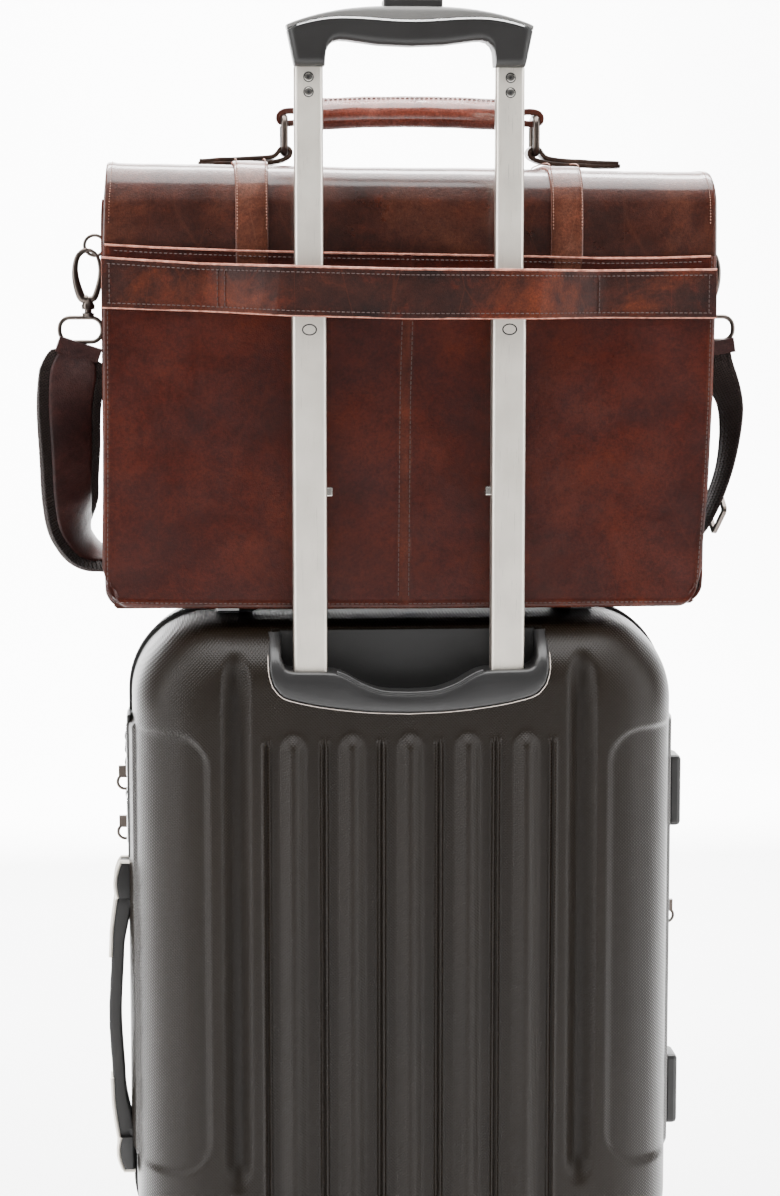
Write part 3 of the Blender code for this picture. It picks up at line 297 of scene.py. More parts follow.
def turn_points(steps, reach):
    """Points round a circle of a radius."""
    angles = [2 * pi * step / steps for step in range(steps)]
    return [(reach * cos(angle), reach * sin(angle)) for angle in angles]


def loft_into(shape, rows, first_cap=True, last_cap=True):
    """Adds a body through rings of points to a bmesh, closed at its ends."""
    levels = grid_into(shape, rows, round_columns=True)
    if first_cap:
        shape.faces.new(list(reversed(levels[0])))
    if last_cap:
        shape.faces.new(levels[-1])


def tube_into(shape, path, radius, sides=8, closed=False, side_hint=None):
    """Adds a round tube along points to a bmesh; radius may be a list."""
    count = len(path)
    rows = []
    previous = None
    for index, point in enumerate(path):
        before = path[(index - 1) % count] if closed or index else path[0]
        after = path[(index + 1) % count] if closed or index < count - 1 else path[-1]
        along = (Vector(after) - Vector(before)).normalized()
        hint = side_hint or previous or (UP if abs(along.z) < 0.9 else SIDEWAYS)
        side = (hint - along * hint.dot(along)).normalized()
        previous = side
        other = along.cross(side)
        reach = radius[index] if isinstance(radius, (list, tuple)) else radius
        rows.append([Vector(point) + side * a + other * b for a, b in turn_points(sides, reach)])
    if closed:
        grid_into(shape, rows, round_rows=True, round_columns=True)
    else:
        loft_into(shape, rows)


BOX_FACES = ((0, 1, 3, 2), (4, 6, 7, 5), (0, 4, 5, 1), (2, 3, 7, 6), (0, 2, 6, 4), (1, 5, 7, 3))


def box_into(shape, low, high):
    """Adds a box to a bmesh."""
    corners = [shape.verts.new(place) for place in product(*zip(low, high))]
    for face in BOX_FACES:
        shape.faces.new([corners[index] for index in face])


def rounded_ring(half_a, half_b, radius, steps=5):
    """Points round a rectangle of two half sizes with rounded corners."""
    radius = min(radius, half_a, half_b)
    points = []
    for ca, cb, start in (
        (half_a - radius, half_b - radius, 0), (-half_a + radius, half_b - radius, 90),
        (-half_a + radius, -half_b + radius, 180), (half_a - radius, -half_b + radius, 270),
    ):
        for step in range(steps + 1):
            angle = radians(start + 90 * step / steps)
            points.append((ca + radius * cos(angle), cb + radius * sin(angle)))
    return points


def smooth_path(points, steps=8):
    """A smooth curve through points."""
    points = [Vector(point) for point in points]
    padded = [2 * points[0] - points[1], *points, 2 * points[-1] - points[-2]]
    curve = []
    for a, b, c, d in zip(padded, padded[1:], padded[2:], padded[3:]):
        for step in range(steps):
            t = step / steps
            place = 2 * b + (c - a) * t
            place += (2 * a - 5 * b + 4 * c - d) * t**2
            place += (3 * b - a - 3 * c + d) * t**3
            curve.append(0.5 * place)
    curve.append(points[-1])
    return curve


def between(points, x):
    """The height at x on the straight lines between (x, height) points."""
    for (x_low, low), (x_high, high) in zip(points, points[1:]):
        if x <= x_high:
            share = min(max((x - x_low) / (x_high - x_low), 0.0), 1.0)
            return low + (high - low) * share
    return points[-1][1]


def spread(low, high, steps):
    """Evenly spaced values from low to high."""
    return [low + (high - low) * step / steps for step in range(steps + 1)]


def step_between(value, low, high):
    """0 below low, 1 above high and a smooth rise between."""
    share = min(max((value - low) / (high - low), 0.0), 1.0)
    return share * share * (3 - 2 * share)


# Share of a stitch's length, height in thread radii, and share of the thread's radius
STITCH_SHAPE = [(0.0, -1.2, 0.5), (0.2, 0.2, 0.95), (0.5, 0.6, 1.0), (0.8, 0.2, 0.95), (1.0, -1.2, 0.5)]


def stitches_into(shape, path, normal, length=0.0023, gap=0.0011, radius=0.00036, lift=0.0001):
    """Adds a row of thread stitches along a path to a bmesh; each dips into the leather at its ends."""
    points = [Vector(point) for point in path]
    distances = [0.0]
    for start, end in zip(points, points[1:]):
        distances.append(distances[-1] + (end - start).length)
    total = distances[-1]
    count = max(1, round(total / (length + gap)))
    pitch = total / count

    def at(distance):
        """The point at a distance along the path."""
        for index in range(len(points) - 1):
            if distance <= distances[index + 1]:
                span = distances[index + 1] - distances[index] or 1.0
                return points[index].lerp(points[index + 1], (distance - distances[index]) / span)
        return points[-1]

    for number in range(count):
        start = number * pitch + gap / 2
        stitch_length = pitch - gap
        row = []
        sizes = []
        for share, height, size in STITCH_SHAPE:
            place = at(min(max(start + stitch_length * share, 0.0), total))
            row.append(place + normal * (lift + radius * height))
            sizes.append(radius * size)
        tube_into(shape, row, sizes, sides=5, side_hint=normal)


def seam(name, paths, body, material, slot_name="belt_leather", normal=BACKWARD, **sizes):
    """Rows of stitches as one piece."""
    shape = bmesh.new()
    for path in paths:
        stitches_into(shape, path, normal, **sizes)
    add_shape(name, shape, body, material)


# Leather, metal, plastic and rubber materials
def deep(colour, tone, richness=1.25):
    """A darker and richer version of a linear colour."""
    grey = sum(colour) / 3
    return tuple(max(tone * (grey + richness * (value - grey)), 0.0002) for value in colour)


def polished_leather(
    name, dark, middle, light, roughness=0.34, tone=0.30, wax=0.14, shine=0.20, rust_amount=0.4
):
    """Hand-finished leather: patches of colour, scratches, fine grain and a waxed surface."""
    material, tree, shader = new_material(name, roughness)
    dark, middle, light = (deep(linear(*colour), tone) for colour in (dark, middle, light))
    taller = (1.0, 1.0, 1.2)
    cloud = texture(tree, NOISE, 13.0, taller, Detail=9.0, Roughness=0.68, Distortion=0.5)
    base = ramp(tree, cloud, [(0.34, dark), (0.5, middle), (0.68, light)])
    patch = texture(tree, NOISE, 34.0, Detail=7.0, Roughness=0.72, Distortion=0.3)
    rust = tuple(value * gain for value, gain in zip(light, (1.45, 0.95, 0.75)))
    rust_share = ramp(tree, patch, [(0.54, 0.0), (0.70, rust_amount)])
    base = mix(tree, rust_share, base, rust)
    mottle = texture(tree, NOISE, 150.0, Detail=5.0, Roughness=0.75)
    mottled = ramp(tree, mottle, [(0.34, 0.24), (0.66, 0.76)])
    base = mix(tree, 0.45, base, mottled, mode="OVERLAY")
    speck = texture(tree, NOISE, 620.0, Detail=3.0, Roughness=0.75)
    specks = ramp(tree, speck, [(0.36, 0.28), (0.62, 0.70)])
    base = mix(tree, 0.65, base, specks, mode="OVERLAY")
    lean = (0.0, 0.6, 0.0)
    scratch = texture(tree, CELLS, 26.0, (1.0, 1.0, 0.34), lean, feature="DISTANCE_TO_EDGE")
    scratch_share = ramp(tree, scratch, [(0.0, 0.30), (0.012, 0.0)])
    mix(tree, scratch_share, base, light, shader.inputs["Base Color"])
    wear = texture(tree, NOISE, 24.0, Detail=5.0, Roughness=0.7)
    gloss = ramp(tree, wear, [(0.30, roughness - 0.07), (0.70, roughness + 0.16)])
    tree.links.new(gloss, shader.inputs["Roughness"])
    shader.inputs["Specular IOR Level"].default_value = 0.16
    shader.inputs["Coat Weight"].default_value = wax
    shader.inputs["Coat Roughness"].default_value = shine
    shader.inputs["Coat Tint"].default_value = (1.0, 0.86, 0.84, 1.0)
    pores = texture(tree, CELLS, 700.0, feature="DISTANCE_TO_EDGE")
    pore_height = ramp(tree, pores, [(0.0, 0.0), (0.22, 1.0)])
    bump(tree, shader, [(pore_height, 0.0003, 0.30), (mottle, 0.0006, 0.30), (patch, 0.0030, 0.18)])
    return material


case_leather = polished_leather(
    "case_leather", (56, 22, 16), (74, 31, 23), (92, 42, 30), 0.34, 0.31, 0.22, rust_amount=0.14
)
flap_leather = polished_leather(
    "flap_leather", (52, 28, 22), (78, 44, 35), (106, 66, 52), 0.30, 0.27, 0.55, 0.20
)
belt_leather = polished_leather(
    "belt_leather", (80, 46, 36), (112, 70, 56), (144, 102, 86), 0.32, 0.30, 0.35, 0.16
)
band_leather = polished_leather(
    "band_leather", (38, 19, 15), (66, 33, 25), (122, 62, 43), 0.50, wax=0.0
)
handle_leather = polished_leather(
    "handle_leather", (104, 58, 48), (140, 84, 72), (176, 120, 108), 0.22, 0.33, 1.0, 0.10, 0.2
)
seam_leather = polished_leather("seam_leather", (58, 26, 19), (86, 42, 31), (116, 62, 46), 0.36)
tab_leather = polished_leather("tab_leather", (56, 44, 38), (80, 64, 56), (112, 94, 84), 0.34)
pad_leather = polished_leather("pad_leather", (46, 26, 25), (66, 40, 38), (88, 58, 54), 0.42, wax=0.05)


def raw_edge_leather():
    """The cut edge of the leather, left pinkish brown and matt."""
    material, tree, shader = new_material("raw_edge_leather", 0.62)
    noise = texture(tree, NOISE, 260.0, Detail=4.0)
    stops = [(0.3, linear(112, 62, 48)), (0.55, linear(158, 100, 82)), (0.8, linear(186, 128, 110))]
    ramp(tree, noise, stops, shader.inputs["Base Color"])
    bump(tree, shader, [(noise, 0.0008, 0.5)])
    return material


def thread_material(name, colour):
    """Waxed sewing thread."""
    material, tree, shader = new_material(name, 0.6)
    twist = texture(tree, NOISE, 900.0, Detail=2.0)
    darker = tuple(0.62 * value for value in colour)
    ramp(tree, twist, [(0.3, darker), (0.7, colour)], shader.inputs["Base Color"])
    bump(tree, shader, [(twist, 0.0004, 0.5)])
    return material


raw_edge = raw_edge_leather()
rust_thread = thread_material("rust_thread", linear(50, 25, 18))
dark_thread = thread_material("dark_thread", linear(52, 32, 27))
light_thread = thread_material("light_thread", linear(140, 96, 78))


def shell_material():
    """Dark grey polycarbonate pressed with a fine diamond grid, whose glints and shade are also painted into
    the colour.
    """
    material, tree, shader = new_material("moulded_shell", 0.36)
    cloud = texture(tree, NOISE, 5.0, Detail=3.0)
    stops = [(0.3, deep(linear(74, 65, 57), 0.066, 2.0)), (0.7, deep(linear(86, 76, 67), 0.066, 2.0))]
    base = ramp(tree, cloud, stops)
    waves = []
    for turn in (45.0, -45.0):
        node = tree.nodes.new("ShaderNodeTexWave")
        node.bands_direction = "X"
        node.inputs["Scale"].default_value = 185.0
        place = stretched(tree, (1.0, 0.0, 1.0), (0.0, radians(turn), 0.0))
        tree.links.new(place, node.inputs["Vector"])
        waves.append(node.outputs["Fac"])
    grid = calculate(tree, "MULTIPLY", waves[0], waves[1])
    # Painted highlight and shade: the pressed grid drawn into the colour as lighter and darker lines
    shade = ramp(tree, grid, [(0.0, 0.36), (0.5, 0.60)])
    mix(tree, 0.85, base, shade, shader.inputs["Base Color"], mode="OVERLAY")
    shader.inputs["Specular IOR Level"].default_value = 0.17
    fine = texture(tree, NOISE, 500.0, Detail=2.0)
    bump(tree, shader, [(grid, 0.0005, 0.45), (fine, 0.0003, 0.15)])
    return material


def plastic_material(name, colour, roughness, grain=0.3, scale=1500.0):
    """Moulded plastic with a fine spark-eroded grain."""
    material, tree, shader = new_material(name, roughness)
    colour = deep(colour, 0.34, 1.0)
    shader.inputs["Specular IOR Level"].default_value = 0.32
    cloud = texture(tree, NOISE, 18.0, Detail=4.0)
    darker = tuple(0.86 * value for value in colour)
    ramp(tree, cloud, [(0.3, darker), (0.7, colour)], shader.inputs["Base Color"])
    wear = ramp(tree, cloud, [(0.3, roughness - 0.04), (0.7, roughness + 0.06)])
    tree.links.new(wear, shader.inputs["Roughness"])
    fine = texture(tree, NOISE, scale, Detail=2.0)
    bump(tree, shader, [(fine, 0.0003, grain)])
    return material


shell_plastic = shell_material()
bezel_plastic = plastic_material("bezel_plastic", linear(62, 61, 61), 0.30)
# A darker grey for recesses and holes: painted shade
recess_shade_plastic = plastic_material("recess_shade_plastic", linear(42, 41, 40), 0.50)
black_plastic = plastic_material("black_plastic", linear(44, 42, 41), 0.45)
foot_plastic = plastic_material("foot_plastic", linear(52, 50, 49), 0.42)
grip_grey = plastic_material("grip_grey", linear(148, 146, 143), 0.36)
rubber = plastic_material("rubber", linear(58, 56, 55), 0.62)
wheel_core = plastic_material("wheel_core", linear(120, 118, 116), 0.4)


def metal_material(name, colour, roughness, brushed=None, metallic=1.0):
    """Bare metal; brushed gives the scale of the brush lines along X, Y and Z."""
    material, tree, shader = new_material(name, roughness, metallic)
    cloud = texture(tree, NOISE, 40.0, Detail=3.0)
    darker = tuple(0.85 * value for value in colour)
    ramp(tree, cloud, [(0.3, darker), (0.7, colour)], shader.inputs["Base Color"])
    if brushed:
        lines = texture(tree, NOISE, 1.0, brushed, Detail=4.0, Roughness=0.6)
        shine = ramp(tree, lines, [(0.3, roughness - 0.08), (0.7, roughness + 0.12)])
        tree.links.new(shine, shader.inputs["Roughness"])
        bump(tree, shader, [(lines, 0.00025, 0.30)])
    return material


aluminium = metal_material("brushed_aluminium", linear(214, 207, 196), 0.34, (2600.0, 2600.0, 30.0), 0.55)
# A darker aluminium: painted shade on the tubes' sides, also used on the guide tubes and the bezel bead
dark_aluminium_side_shade = metal_material("dark_aluminium_side_shade", linear(176, 166, 158), 0.40, (2600.0, 2600.0, 30.0))
chrome = metal_material("chrome", linear(235, 235, 235), 0.10)
steel = metal_material("steel", linear(178, 174, 168), 0.26)
gunmetal = metal_material("gunmetal", linear(84, 76, 71), 0.30)
brass = metal_material("antique_brass", linear(150, 122, 88), 0.36)


def cloth_material(name, first, second, scale, turn=0.0):
    """Woven cloth or webbing: crossing threads."""
    material, tree, shader = new_material(name, 0.85)
    heights = []
    for direction in ("X", "Z"):
        node = tree.nodes.new("ShaderNodeTexWave")
        node.bands_direction = direction
        node.inputs["Scale"].default_value = scale
        node.inputs["Distortion"].default_value = 0.6
        place = stretched(tree, (1.0, 1.0, 1.0), (0.0, radians(turn), 0.0))
        tree.links.new(place, node.inputs["Vector"])
        heights.append(node.outputs["Fac"])
    weave = calculate(tree, "MAXIMUM", heights[0], heights[1])
    ramp(tree, weave, [(0.35, first), (0.85, second)], shader.inputs["Base Color"])
    shader.inputs["Sheen Weight"].default_value = 0.04
    shader.inputs["Specular IOR Level"].default_value = 0.12
    bump(tree, shader, [(weave, 0.0006, 0.6)])
    return material


webbing = cloth_material("webbing", linear(12, 9, 8), linear(34, 25, 22), 190.0, 30.0)
zip_cloth = cloth_material("zip_cloth", linear(24, 24, 24), linear(48, 47, 46), 320.0)
lining_cloth = cloth_material("lining_cloth", linear(92, 72, 52), linear(120, 96, 72), 260.0)


# The two moulded shells: nested rings from the zip to the flat face, pushed in or out by the relief
SHELL_HALF_WIDTH = 0.194
SHELL_BOTTOM, SHELL_TOP = 0.052, 0.5365
SHELL_MIDDLE = (SHELL_BOTTOM + SHELL_TOP) / 2
SHELL_FACE = 0.112
SHELL_CORNER = 0.060
SHELL_PROFILE = [
    (0.0058, 0.0), (0.0260, 0.0005), (0.0460, 0.0014), (0.0690, 0.0042), (0.0860, 0.0105),
    (0.0985, 0.0200), (0.1072, 0.0335), (0.1110, 0.0460), (0.1120, 0.0560),
]
WALL = 0.0022
NARROW_RIDGES = (0.0200, 0.0600, 0.1000)
RIDGE_HEIGHT = 0.0020
WIDE_RIBS = (0.0, 0.0405, 0.0815)
RIB_HALF_WIDTH, RIB_HEIGHT = 0.0105, 0.0064
RIB_LOW, RIB_HIGH = 0.1000, 0.4620
GROOVE_X, GROOVE_HALF_WIDTH, GROOVE_DEPTH = 0.1210, 0.0116, 0.0078
GROOVE_LOW, GROOVE_HIGH = 0.1300, 0.5200
RECESS_X, RECESS_LOW, RECESS_HIGH = 0.1412, 0.1450, 0.4600
RECESS_CORNER, RECESS_DEPTH = 0.024, 0.0034
BEZEL_HALF_WIDTH = 0.0975
BEZEL_ARC = [
    (0.0, 0.4748), (0.03, 0.476), (0.06, 0.4795), (0.08, 0.4835), (0.091, 0.488), (0.0965, 0.496)
]


def corner_walk(half_width, low, high, corner, steps):
    """Round a rounded rectangle in X and Z: corner centres, and the direction to each point."""
    walk = []
    for cx, cz, start in (
        (half_width - corner, high - corner, 0), (-half_width + corner, high - corner, 90),
        (-half_width + corner, low + corner, 180), (half_width - corner, low + corner, 270),
    ):
        for step in range(steps + 1):
            angle = radians(start + 90 * step / steps)
            walk.append((cx, cz, cos(angle), sin(angle)))
    return walk


def ring_points(inset, shares):
    """Points at shares of the way round the shell's outline, inset from it."""
    half = SHELL_HALF_WIDTH - inset
    low = SHELL_BOTTOM + 0.75 * inset
    high = SHELL_TOP - 0.75 * inset
    corner = max(min(SHELL_CORNER - 0.45 * inset, 0.8 * half), 0.0015)
    walk = corner_walk(half, low, high, corner, 24)
    spine = [(cx + corner * dx, cz + corner * dz) for cx, cz, dx, dz in walk]
    spine.append(spine[0])
    lengths = [0.0]
    for (xa, za), (xb, zb) in zip(spine, spine[1:]):
        lengths.append(lengths[-1] + hypot(xb - xa, zb - za))
    points = []
    index = 0
    for share_round in shares:
        target = lengths[-1] * share_round
        while lengths[index + 1] < target:
            index += 1
        span = lengths[index + 1] - lengths[index]
        share = (target - lengths[index]) / span if span else 0.0
        (xa, za), (xb, zb) = spine[index], spine[index + 1]
        points.append((xa + (xb - xa) * share, za + (zb - za) * share))
    return points


def rib_row(x):
    """The narrow double ridges that stand between the wide ribs."""
    wide = abs(x)
    near_narrow = min(abs(wide - centre) for centre in NARROW_RIDGES)
    ridge = sum(exp(-(((near_narrow - apart) / 0.0011) ** 2)) for apart in (0.0019, -0.0019))
    return RIDGE_HEIGHT * min(ridge, 1.0)


def capsule(x, z, centre, low, high, reach, point=1.0):
    """1 on an upright bar's middle line, 0 at its edge, with rounded or pointed ends."""
    along = max(z - (high - reach * point), (low + reach * point) - z, 0.0) / point
    away = hypot(abs(x) - centre, along) / reach
    return 0.5 + 0.5 * cos(pi * min(away, 1.0))


def relief(x, z):
    """How far the face stands out: ribs, a groove at each side and the side recesses."""
    wide = abs(x)
    middle = step_between(z, 0.1010, 0.1060) * (1.0 - step_between(z, 0.4530, 0.4580))
    height = rib_row(x) * middle if wide < 0.112 else 0.0
    for centre in WIDE_RIBS:
        if abs(wide - centre) < RIB_HALF_WIDTH:
            height += RIB_HEIGHT * capsule(x, z, centre, RIB_LOW, RIB_HIGH, RIB_HALF_WIDTH, 1.2) ** 0.8
    groove = capsule(x, z, GROOVE_X, GROOVE_LOW, GROOVE_HIGH, GROOVE_HALF_WIDTH, 2.0)
    height -= GROOVE_DEPTH * groove**0.8
    away_x = max(RECESS_X + RECESS_CORNER - wide, 0.0)
    away_z = max(z - (RECESS_HIGH - RECESS_CORNER), (RECESS_LOW + RECESS_CORNER) - z, 0.0)
    edge = RECESS_CORNER - hypot(away_x, away_z)
    height -= RECESS_DEPTH * step_between(edge, -0.0020, 0.0020)
    return height


def bezel_recess(x, z):
    """1 behind the handle's bezel, where the shell is sunk, and 0 outside it."""
    wide = abs(x)
    if wide > BEZEL_HALF_WIDTH - 0.002:
        return 0.0
    return 1.0 if z > between(BEZEL_ARC, wide) + 0.002 else 0.0


FACE_INSET = SHELL_PROFILE[-1][1]
FACE_CORNER = SHELL_CORNER - 0.45 * FACE_INSET
FACE_STRAIGHT = SHELL_HALF_WIDTH - FACE_INSET - FACE_CORNER
FACE_ROWS = 210


def face_columns():
    """X places across the flat face, closer together on the narrow ridges and round the corners."""
    places = [0.0]
    while places[-1] < FACE_STRAIGHT - 0.0016:
        on_ridge = any(abs(places[-1] - centre) < 0.0048 for centre in NARROW_RIDGES)
        places.append(places[-1] + (0.0007 if on_ridge else 0.0015))
    for step in range(37):
        places.append(FACE_STRAIGHT + FACE_CORNER * sin(radians(90 * step / 36)))
    return [-x for x in reversed(places[1:])] + places


def face_patch():
    """Columns of (x, z) places that fill the flat face, and the (column, row) pairs round its edge."""
    low, high = SHELL_BOTTOM + 0.75 * FACE_INSET, SHELL_TOP - 0.75 * FACE_INSET
    columns = []
    for x in face_columns():
        past = max(abs(x) - FACE_STRAIGHT, 0.0)
        rise = FACE_CORNER - sqrt(max(FACE_CORNER**2 - past**2, 0.0))
        tall = high - low - 2 * rise
        columns.append([(x, low + rise + tall * row / FACE_ROWS) for row in range(FACE_ROWS + 1)])
    last = len(columns) - 1
    loop = [(column, FACE_ROWS) for column in range(last, -1, -1)]
    loop += [(0, row) for row in range(FACE_ROWS - 1, -1, -1)]
    loop += [(column, 0) for column in range(1, last + 1)]
    loop += [(last, row) for row in range(1, FACE_ROWS)]
    return columns, loop


def shell_place(x, z, depth, sign):
    """A point of the skin: the relief is full on the face and fades out down the sides."""
    out = relief(x, z)
    share = step_between(depth, 0.030, 0.095)
    place_depth = depth + out * share
    if sign < 0 and depth > 0.080:
        place_depth -= (depth - 0.0835) * bezel_recess(x, z)
    slide = 1.0 if share > 0.5 else 1.0 - out * (1.0 - share) * 6.0
    return (x * slide, sign * place_depth, z)


def in_tube_slot(place):
    """Whether a face lies in the way of a tube, behind the handle's bezel."""
    return 0.054 < abs(place.x) < 0.0835 and -0.1098 < place.y < -0.0905 and 0.470 < place.z < 0.503


def shell_skin(name, sign):
    """One moulded half; sign is -1 for the rear half and 1 for the front half."""
    columns, loop = face_patch()
    edge = [columns[column][row] for column, row in loop]
    lengths = [0.0]
    for (xa, za), (xb, zb) in zip(edge, edge[1:] + edge[:1]):
        lengths.append(lengths[-1] + hypot(xb - xa, zb - za))
    shares = [length / lengths[-1] for length in lengths[:-1]]
    insets = []
    for point in smooth_path([(depth, inset, 0.0) for depth, inset in SHELL_PROFILE], 24)[:-1]:
        if not insets or hypot(point.x - insets[-1][0], point.y - insets[-1][1]) > 0.0022:
            insets.append((point.x, point.y))
    shape = bmesh.new()
    rows = []
    for depth, inset in insets:
        rows.append([shell_place(x, z, depth, sign) for x, z in ring_points(inset, shares)])
    levels = grid_into(shape, rows, round_columns=True)
    rows = [[shell_place(x, z, SHELL_FACE, sign) for x, z in column] for column in columns]
    face = grid_into(shape, rows)
    rim = [face[column][row] for column, row in loop]
    for index in range(len(rim)):
        after = (index + 1) % len(rim)
        shape.faces.new((levels[-1][index], levels[-1][after], rim[after], rim[index]))
    if sign < 0:
        slots = [polygon for polygon in shape.faces if in_tube_slot(polygon.calc_center_median())]
        bmesh.ops.delete(shape, geom=slots, context="FACES")
    mesh = finished(shape, name)
    face_middle = Vector((0.0, sign * SHELL_FACE, SHELL_MIDDLE))
    middle = min(mesh.polygons, key=lambda polygon: (polygon.center - face_middle).length)
    if sign * middle.normal.y < 0:
        mesh.flip_normals()
    body = "hard_case" if sign < 0 else "lid"
    node = "rear_shell" if sign < 0 else "front_shell"
    piece = add_piece(name, mesh, body, shell_plastic, (node,), smooth_angle=50)
    solid = piece.modifiers.new("wall", "SOLIDIFY")
    solid.thickness = WALL
    solid.offset = -1.0


shell_skin("rear_shell_skin", -1)
shell_skin("front_shell_skin", 1)


def loop_piece(name, body, material, section, replaced):
    """A band round the shells' outline, from a cross-section of (outward, depth) points."""
    shape = bmesh.new()
    rows = []
    for cx, cz, dx, dz in corner_walk(SHELL_HALF_WIDTH, SHELL_BOTTOM, SHELL_TOP, SHELL_CORNER, 24):
        reaches = [(SHELL_CORNER + out, depth) for out, depth in section]
        rows.append([(cx + reach * dx, depth, cz + reach * dz) for reach, depth in reaches])
    grid_into(shape, rows, round_rows=True, round_columns=True)
    add_shape(name, shape, body, material, replaced)


TOOTH_PLACES = 680


def zip_band(word, body, sign):
    """One half of the zip: woven tape, a rolled edge against the shell and a row of moulded teeth."""
    near, far = sign * 0.0003, sign * 0.0056
    section = [
        (-0.0030, near), (0.0010, near), (0.0010, sign * 0.0022), (0.0014, sign * 0.0032),
        (0.0022, sign * 0.0040), (0.0020, sign * 0.0054), (0.0006, far), (-0.0030, far),
    ]
    loop_piece(f"zip_tape_{word}", body, zip_cloth, section, (f"zip_band_{word}",))
    shape = bmesh.new()
    spine = ring_points(-0.0004, [number / TOOTH_PLACES for number in range(TOOTH_PLACES)])
    for number in range(1 if sign < 0 else 0, TOOTH_PLACES, 2):
        x, z = spine[number]
        xb, zb = spine[(number + 1) % TOOTH_PLACES]
        along = Vector((xb - x, 0.0, zb - z)).normalized()
        out = Vector((along.z, 0.0, -along.x))
        centre = Vector((x, 0.0, z)) + out * 0.0012
        corners = []
        for a in (-0.00075, 0.00075):
            for b in (sign * 0.00025, sign * 0.0021):
                for c in (-0.0007, 0.0005):
                    corners.append(shape.verts.new(centre + along * a + out * c + FORWARD * b))
        for face in BOX_FACES:
            shape.faces.new([corners[index] for index in face])
    add_shape(f"zip_teeth_{word}", shape, body, black_plastic)


zip_band("rear", "hard_case", -1)
zip_band("front", "lid", 1)


# Hard CAD parts that stay, with finer edges and their own finish
def keep(node, material, bevel=0.0006, segments=2):
    """Gives a hard CAD node its finish and soft edges."""
    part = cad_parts[node]
    part.data.materials.clear()
    part.data.materials.append(material)
    for face in part.data.polygons:
        face.material_index = 0
    if bevel:
        edges = part.modifiers.new("soft_edges", "BEVEL")
        edges.width = bevel
        edges.segments = segments
        edges.limit_method = "ANGLE"
        edges.angle_limit = radians(35)
        edges.harden_normals = True


# The two-stage pull handle
TUBE_X, TUBE_Y = 0.0688, -0.100
LOWER_TUBE_HALVES = (0.01175, 0.0070)
UPPER_TUBE_HALVES = (0.0099, 0.0053)
COLLAR_EDGE = [(0.7655, 0.0), (0.7655, 0.0004), (0.7682, 0.0004), (0.7687, 0.0), (0.7687, -0.0016)]
WINDOW_EDGE = [(0.0012, 0.0001), (0.0008, -0.00012), (0.0002, -0.00012), (0.0, 0.0001), (-0.0020, 0.0003)]


def tube_piece(node, body, centre_x, halves, low, high, wall=0.0011):
    """A drawn aluminium tube with rounded corners, open at its ends."""
    half_x, half_y = halves
    shape = bmesh.new()
    outer = rounded_ring(half_x, half_y, 0.0030)
    inner = rounded_ring(half_x - wall, half_y - wall, 0.0020)
    rows = []
    for points, z, shrink in (
        (inner, low, 0.0), (outer, low, 0.0003), (outer, low + 0.0003, 0.0),
        (outer, high - 0.0003, 0.0), (outer, high, 0.0003), (inner, high, 0.0),
    ):
        share_x, share_y = 1 - shrink / half_x, 1 - shrink / half_y
        rows.append([(centre_x + x * share_x, TUBE_Y + y * share_y, z) for x, y in points])
    grid_into(shape, rows, round_rows=True, round_columns=True)
    mesh = finished(shape, f"{node}_drawn")
    add_piece(f"{node}_drawn", mesh, body, aluminium, (node,))
    mesh.materials.append(dark_aluminium_side_shade)
    # Faces turned to the sides get the darker aluminium: painted shade
    for face in mesh.polygons:
        if abs(face.normal.x) > 0.75:
            face.material_index = 1


for word, side in (("left", -1), ("right", 1)):
    tube_piece(f"lower_tube_{word}", "lower_handle", side * TUBE_X, LOWER_TUBE_HALVES, 0.440, 0.768)
    tube_piece(f"upper_tube_{word}", "upper_handle", side * TUBE_X, UPPER_TUBE_HALVES, 0.700, 0.9167)
    keep(f"detent_button_{word}", steel, 0.0003)
    keep(f"guide_tube_{word}", dark_aluminium_side_shade, 0.0)

    # The plastic collar at the top of the lower tube, and its latch window: a shallow dimple painted dark as
    # the shade of the latch hole
    shape = bmesh.new()
    rows = []
    for z, grow in COLLAR_EDGE:
        ring = rounded_ring(*(half + grow for half in LOWER_TUBE_HALVES), 0.0032)
        rows.append([(side * TUBE_X + x, TUBE_Y + y, z) for x, y in ring])
    grid_into(shape, rows, round_columns=True)
    add_shape(f"tube_collar_{word}", shape, "lower_handle", black_plastic)
    shape = bmesh.new()
    face_y = TUBE_Y - LOWER_TUBE_HALVES[1]
    rows = []
    for grow, rise in WINDOW_EDGE:
        row = []
        for step in range(28):
            angle = 2 * pi * step / 28
            x = side * TUBE_X + (0.0042 + grow) * cos(angle)
            row.append((x, face_y + rise, 0.7395 + (0.0030 + grow) * sin(angle)))
        rows.append(row)
    loft_into(shape, rows, first_cap=False)
    add_shape(f"latch_window_{word}", shape, "lower_handle", recess_shade_plastic)

    # Two rivets hold each tube in the grip; the dark rim round each rivet and its dark eye are painted shade
    for number, height in enumerate((0.9097, 0.8997)):
        for part, metal, reach, rise in (
            ("rim", recess_shade_plastic, 0.0036, 0.0002), ("rivet", steel, 0.0029, 0.0004),
            ("rivet_eye", recess_shade_plastic, 0.0012, 0.0005),
        ):
            shape = bmesh.new()
            rows = []
            for share, lift in ((1.0, -0.0002), (1.0, 0.35), (0.92, 0.7), (0.70, 0.93), (0.35, 1.0)):
                y = TUBE_Y - UPPER_TUBE_HALVES[1] - max(lift, 0.0) * rise
                ring = turn_points(24, share * reach)
                rows.append([(side * TUBE_X + a, y, height + b) for a, b in ring])
            loft_into(shape, rows, first_cap=False)
            add_shape(f"{part}_{word}_{number + 1}", shape, "upper_handle", metal)


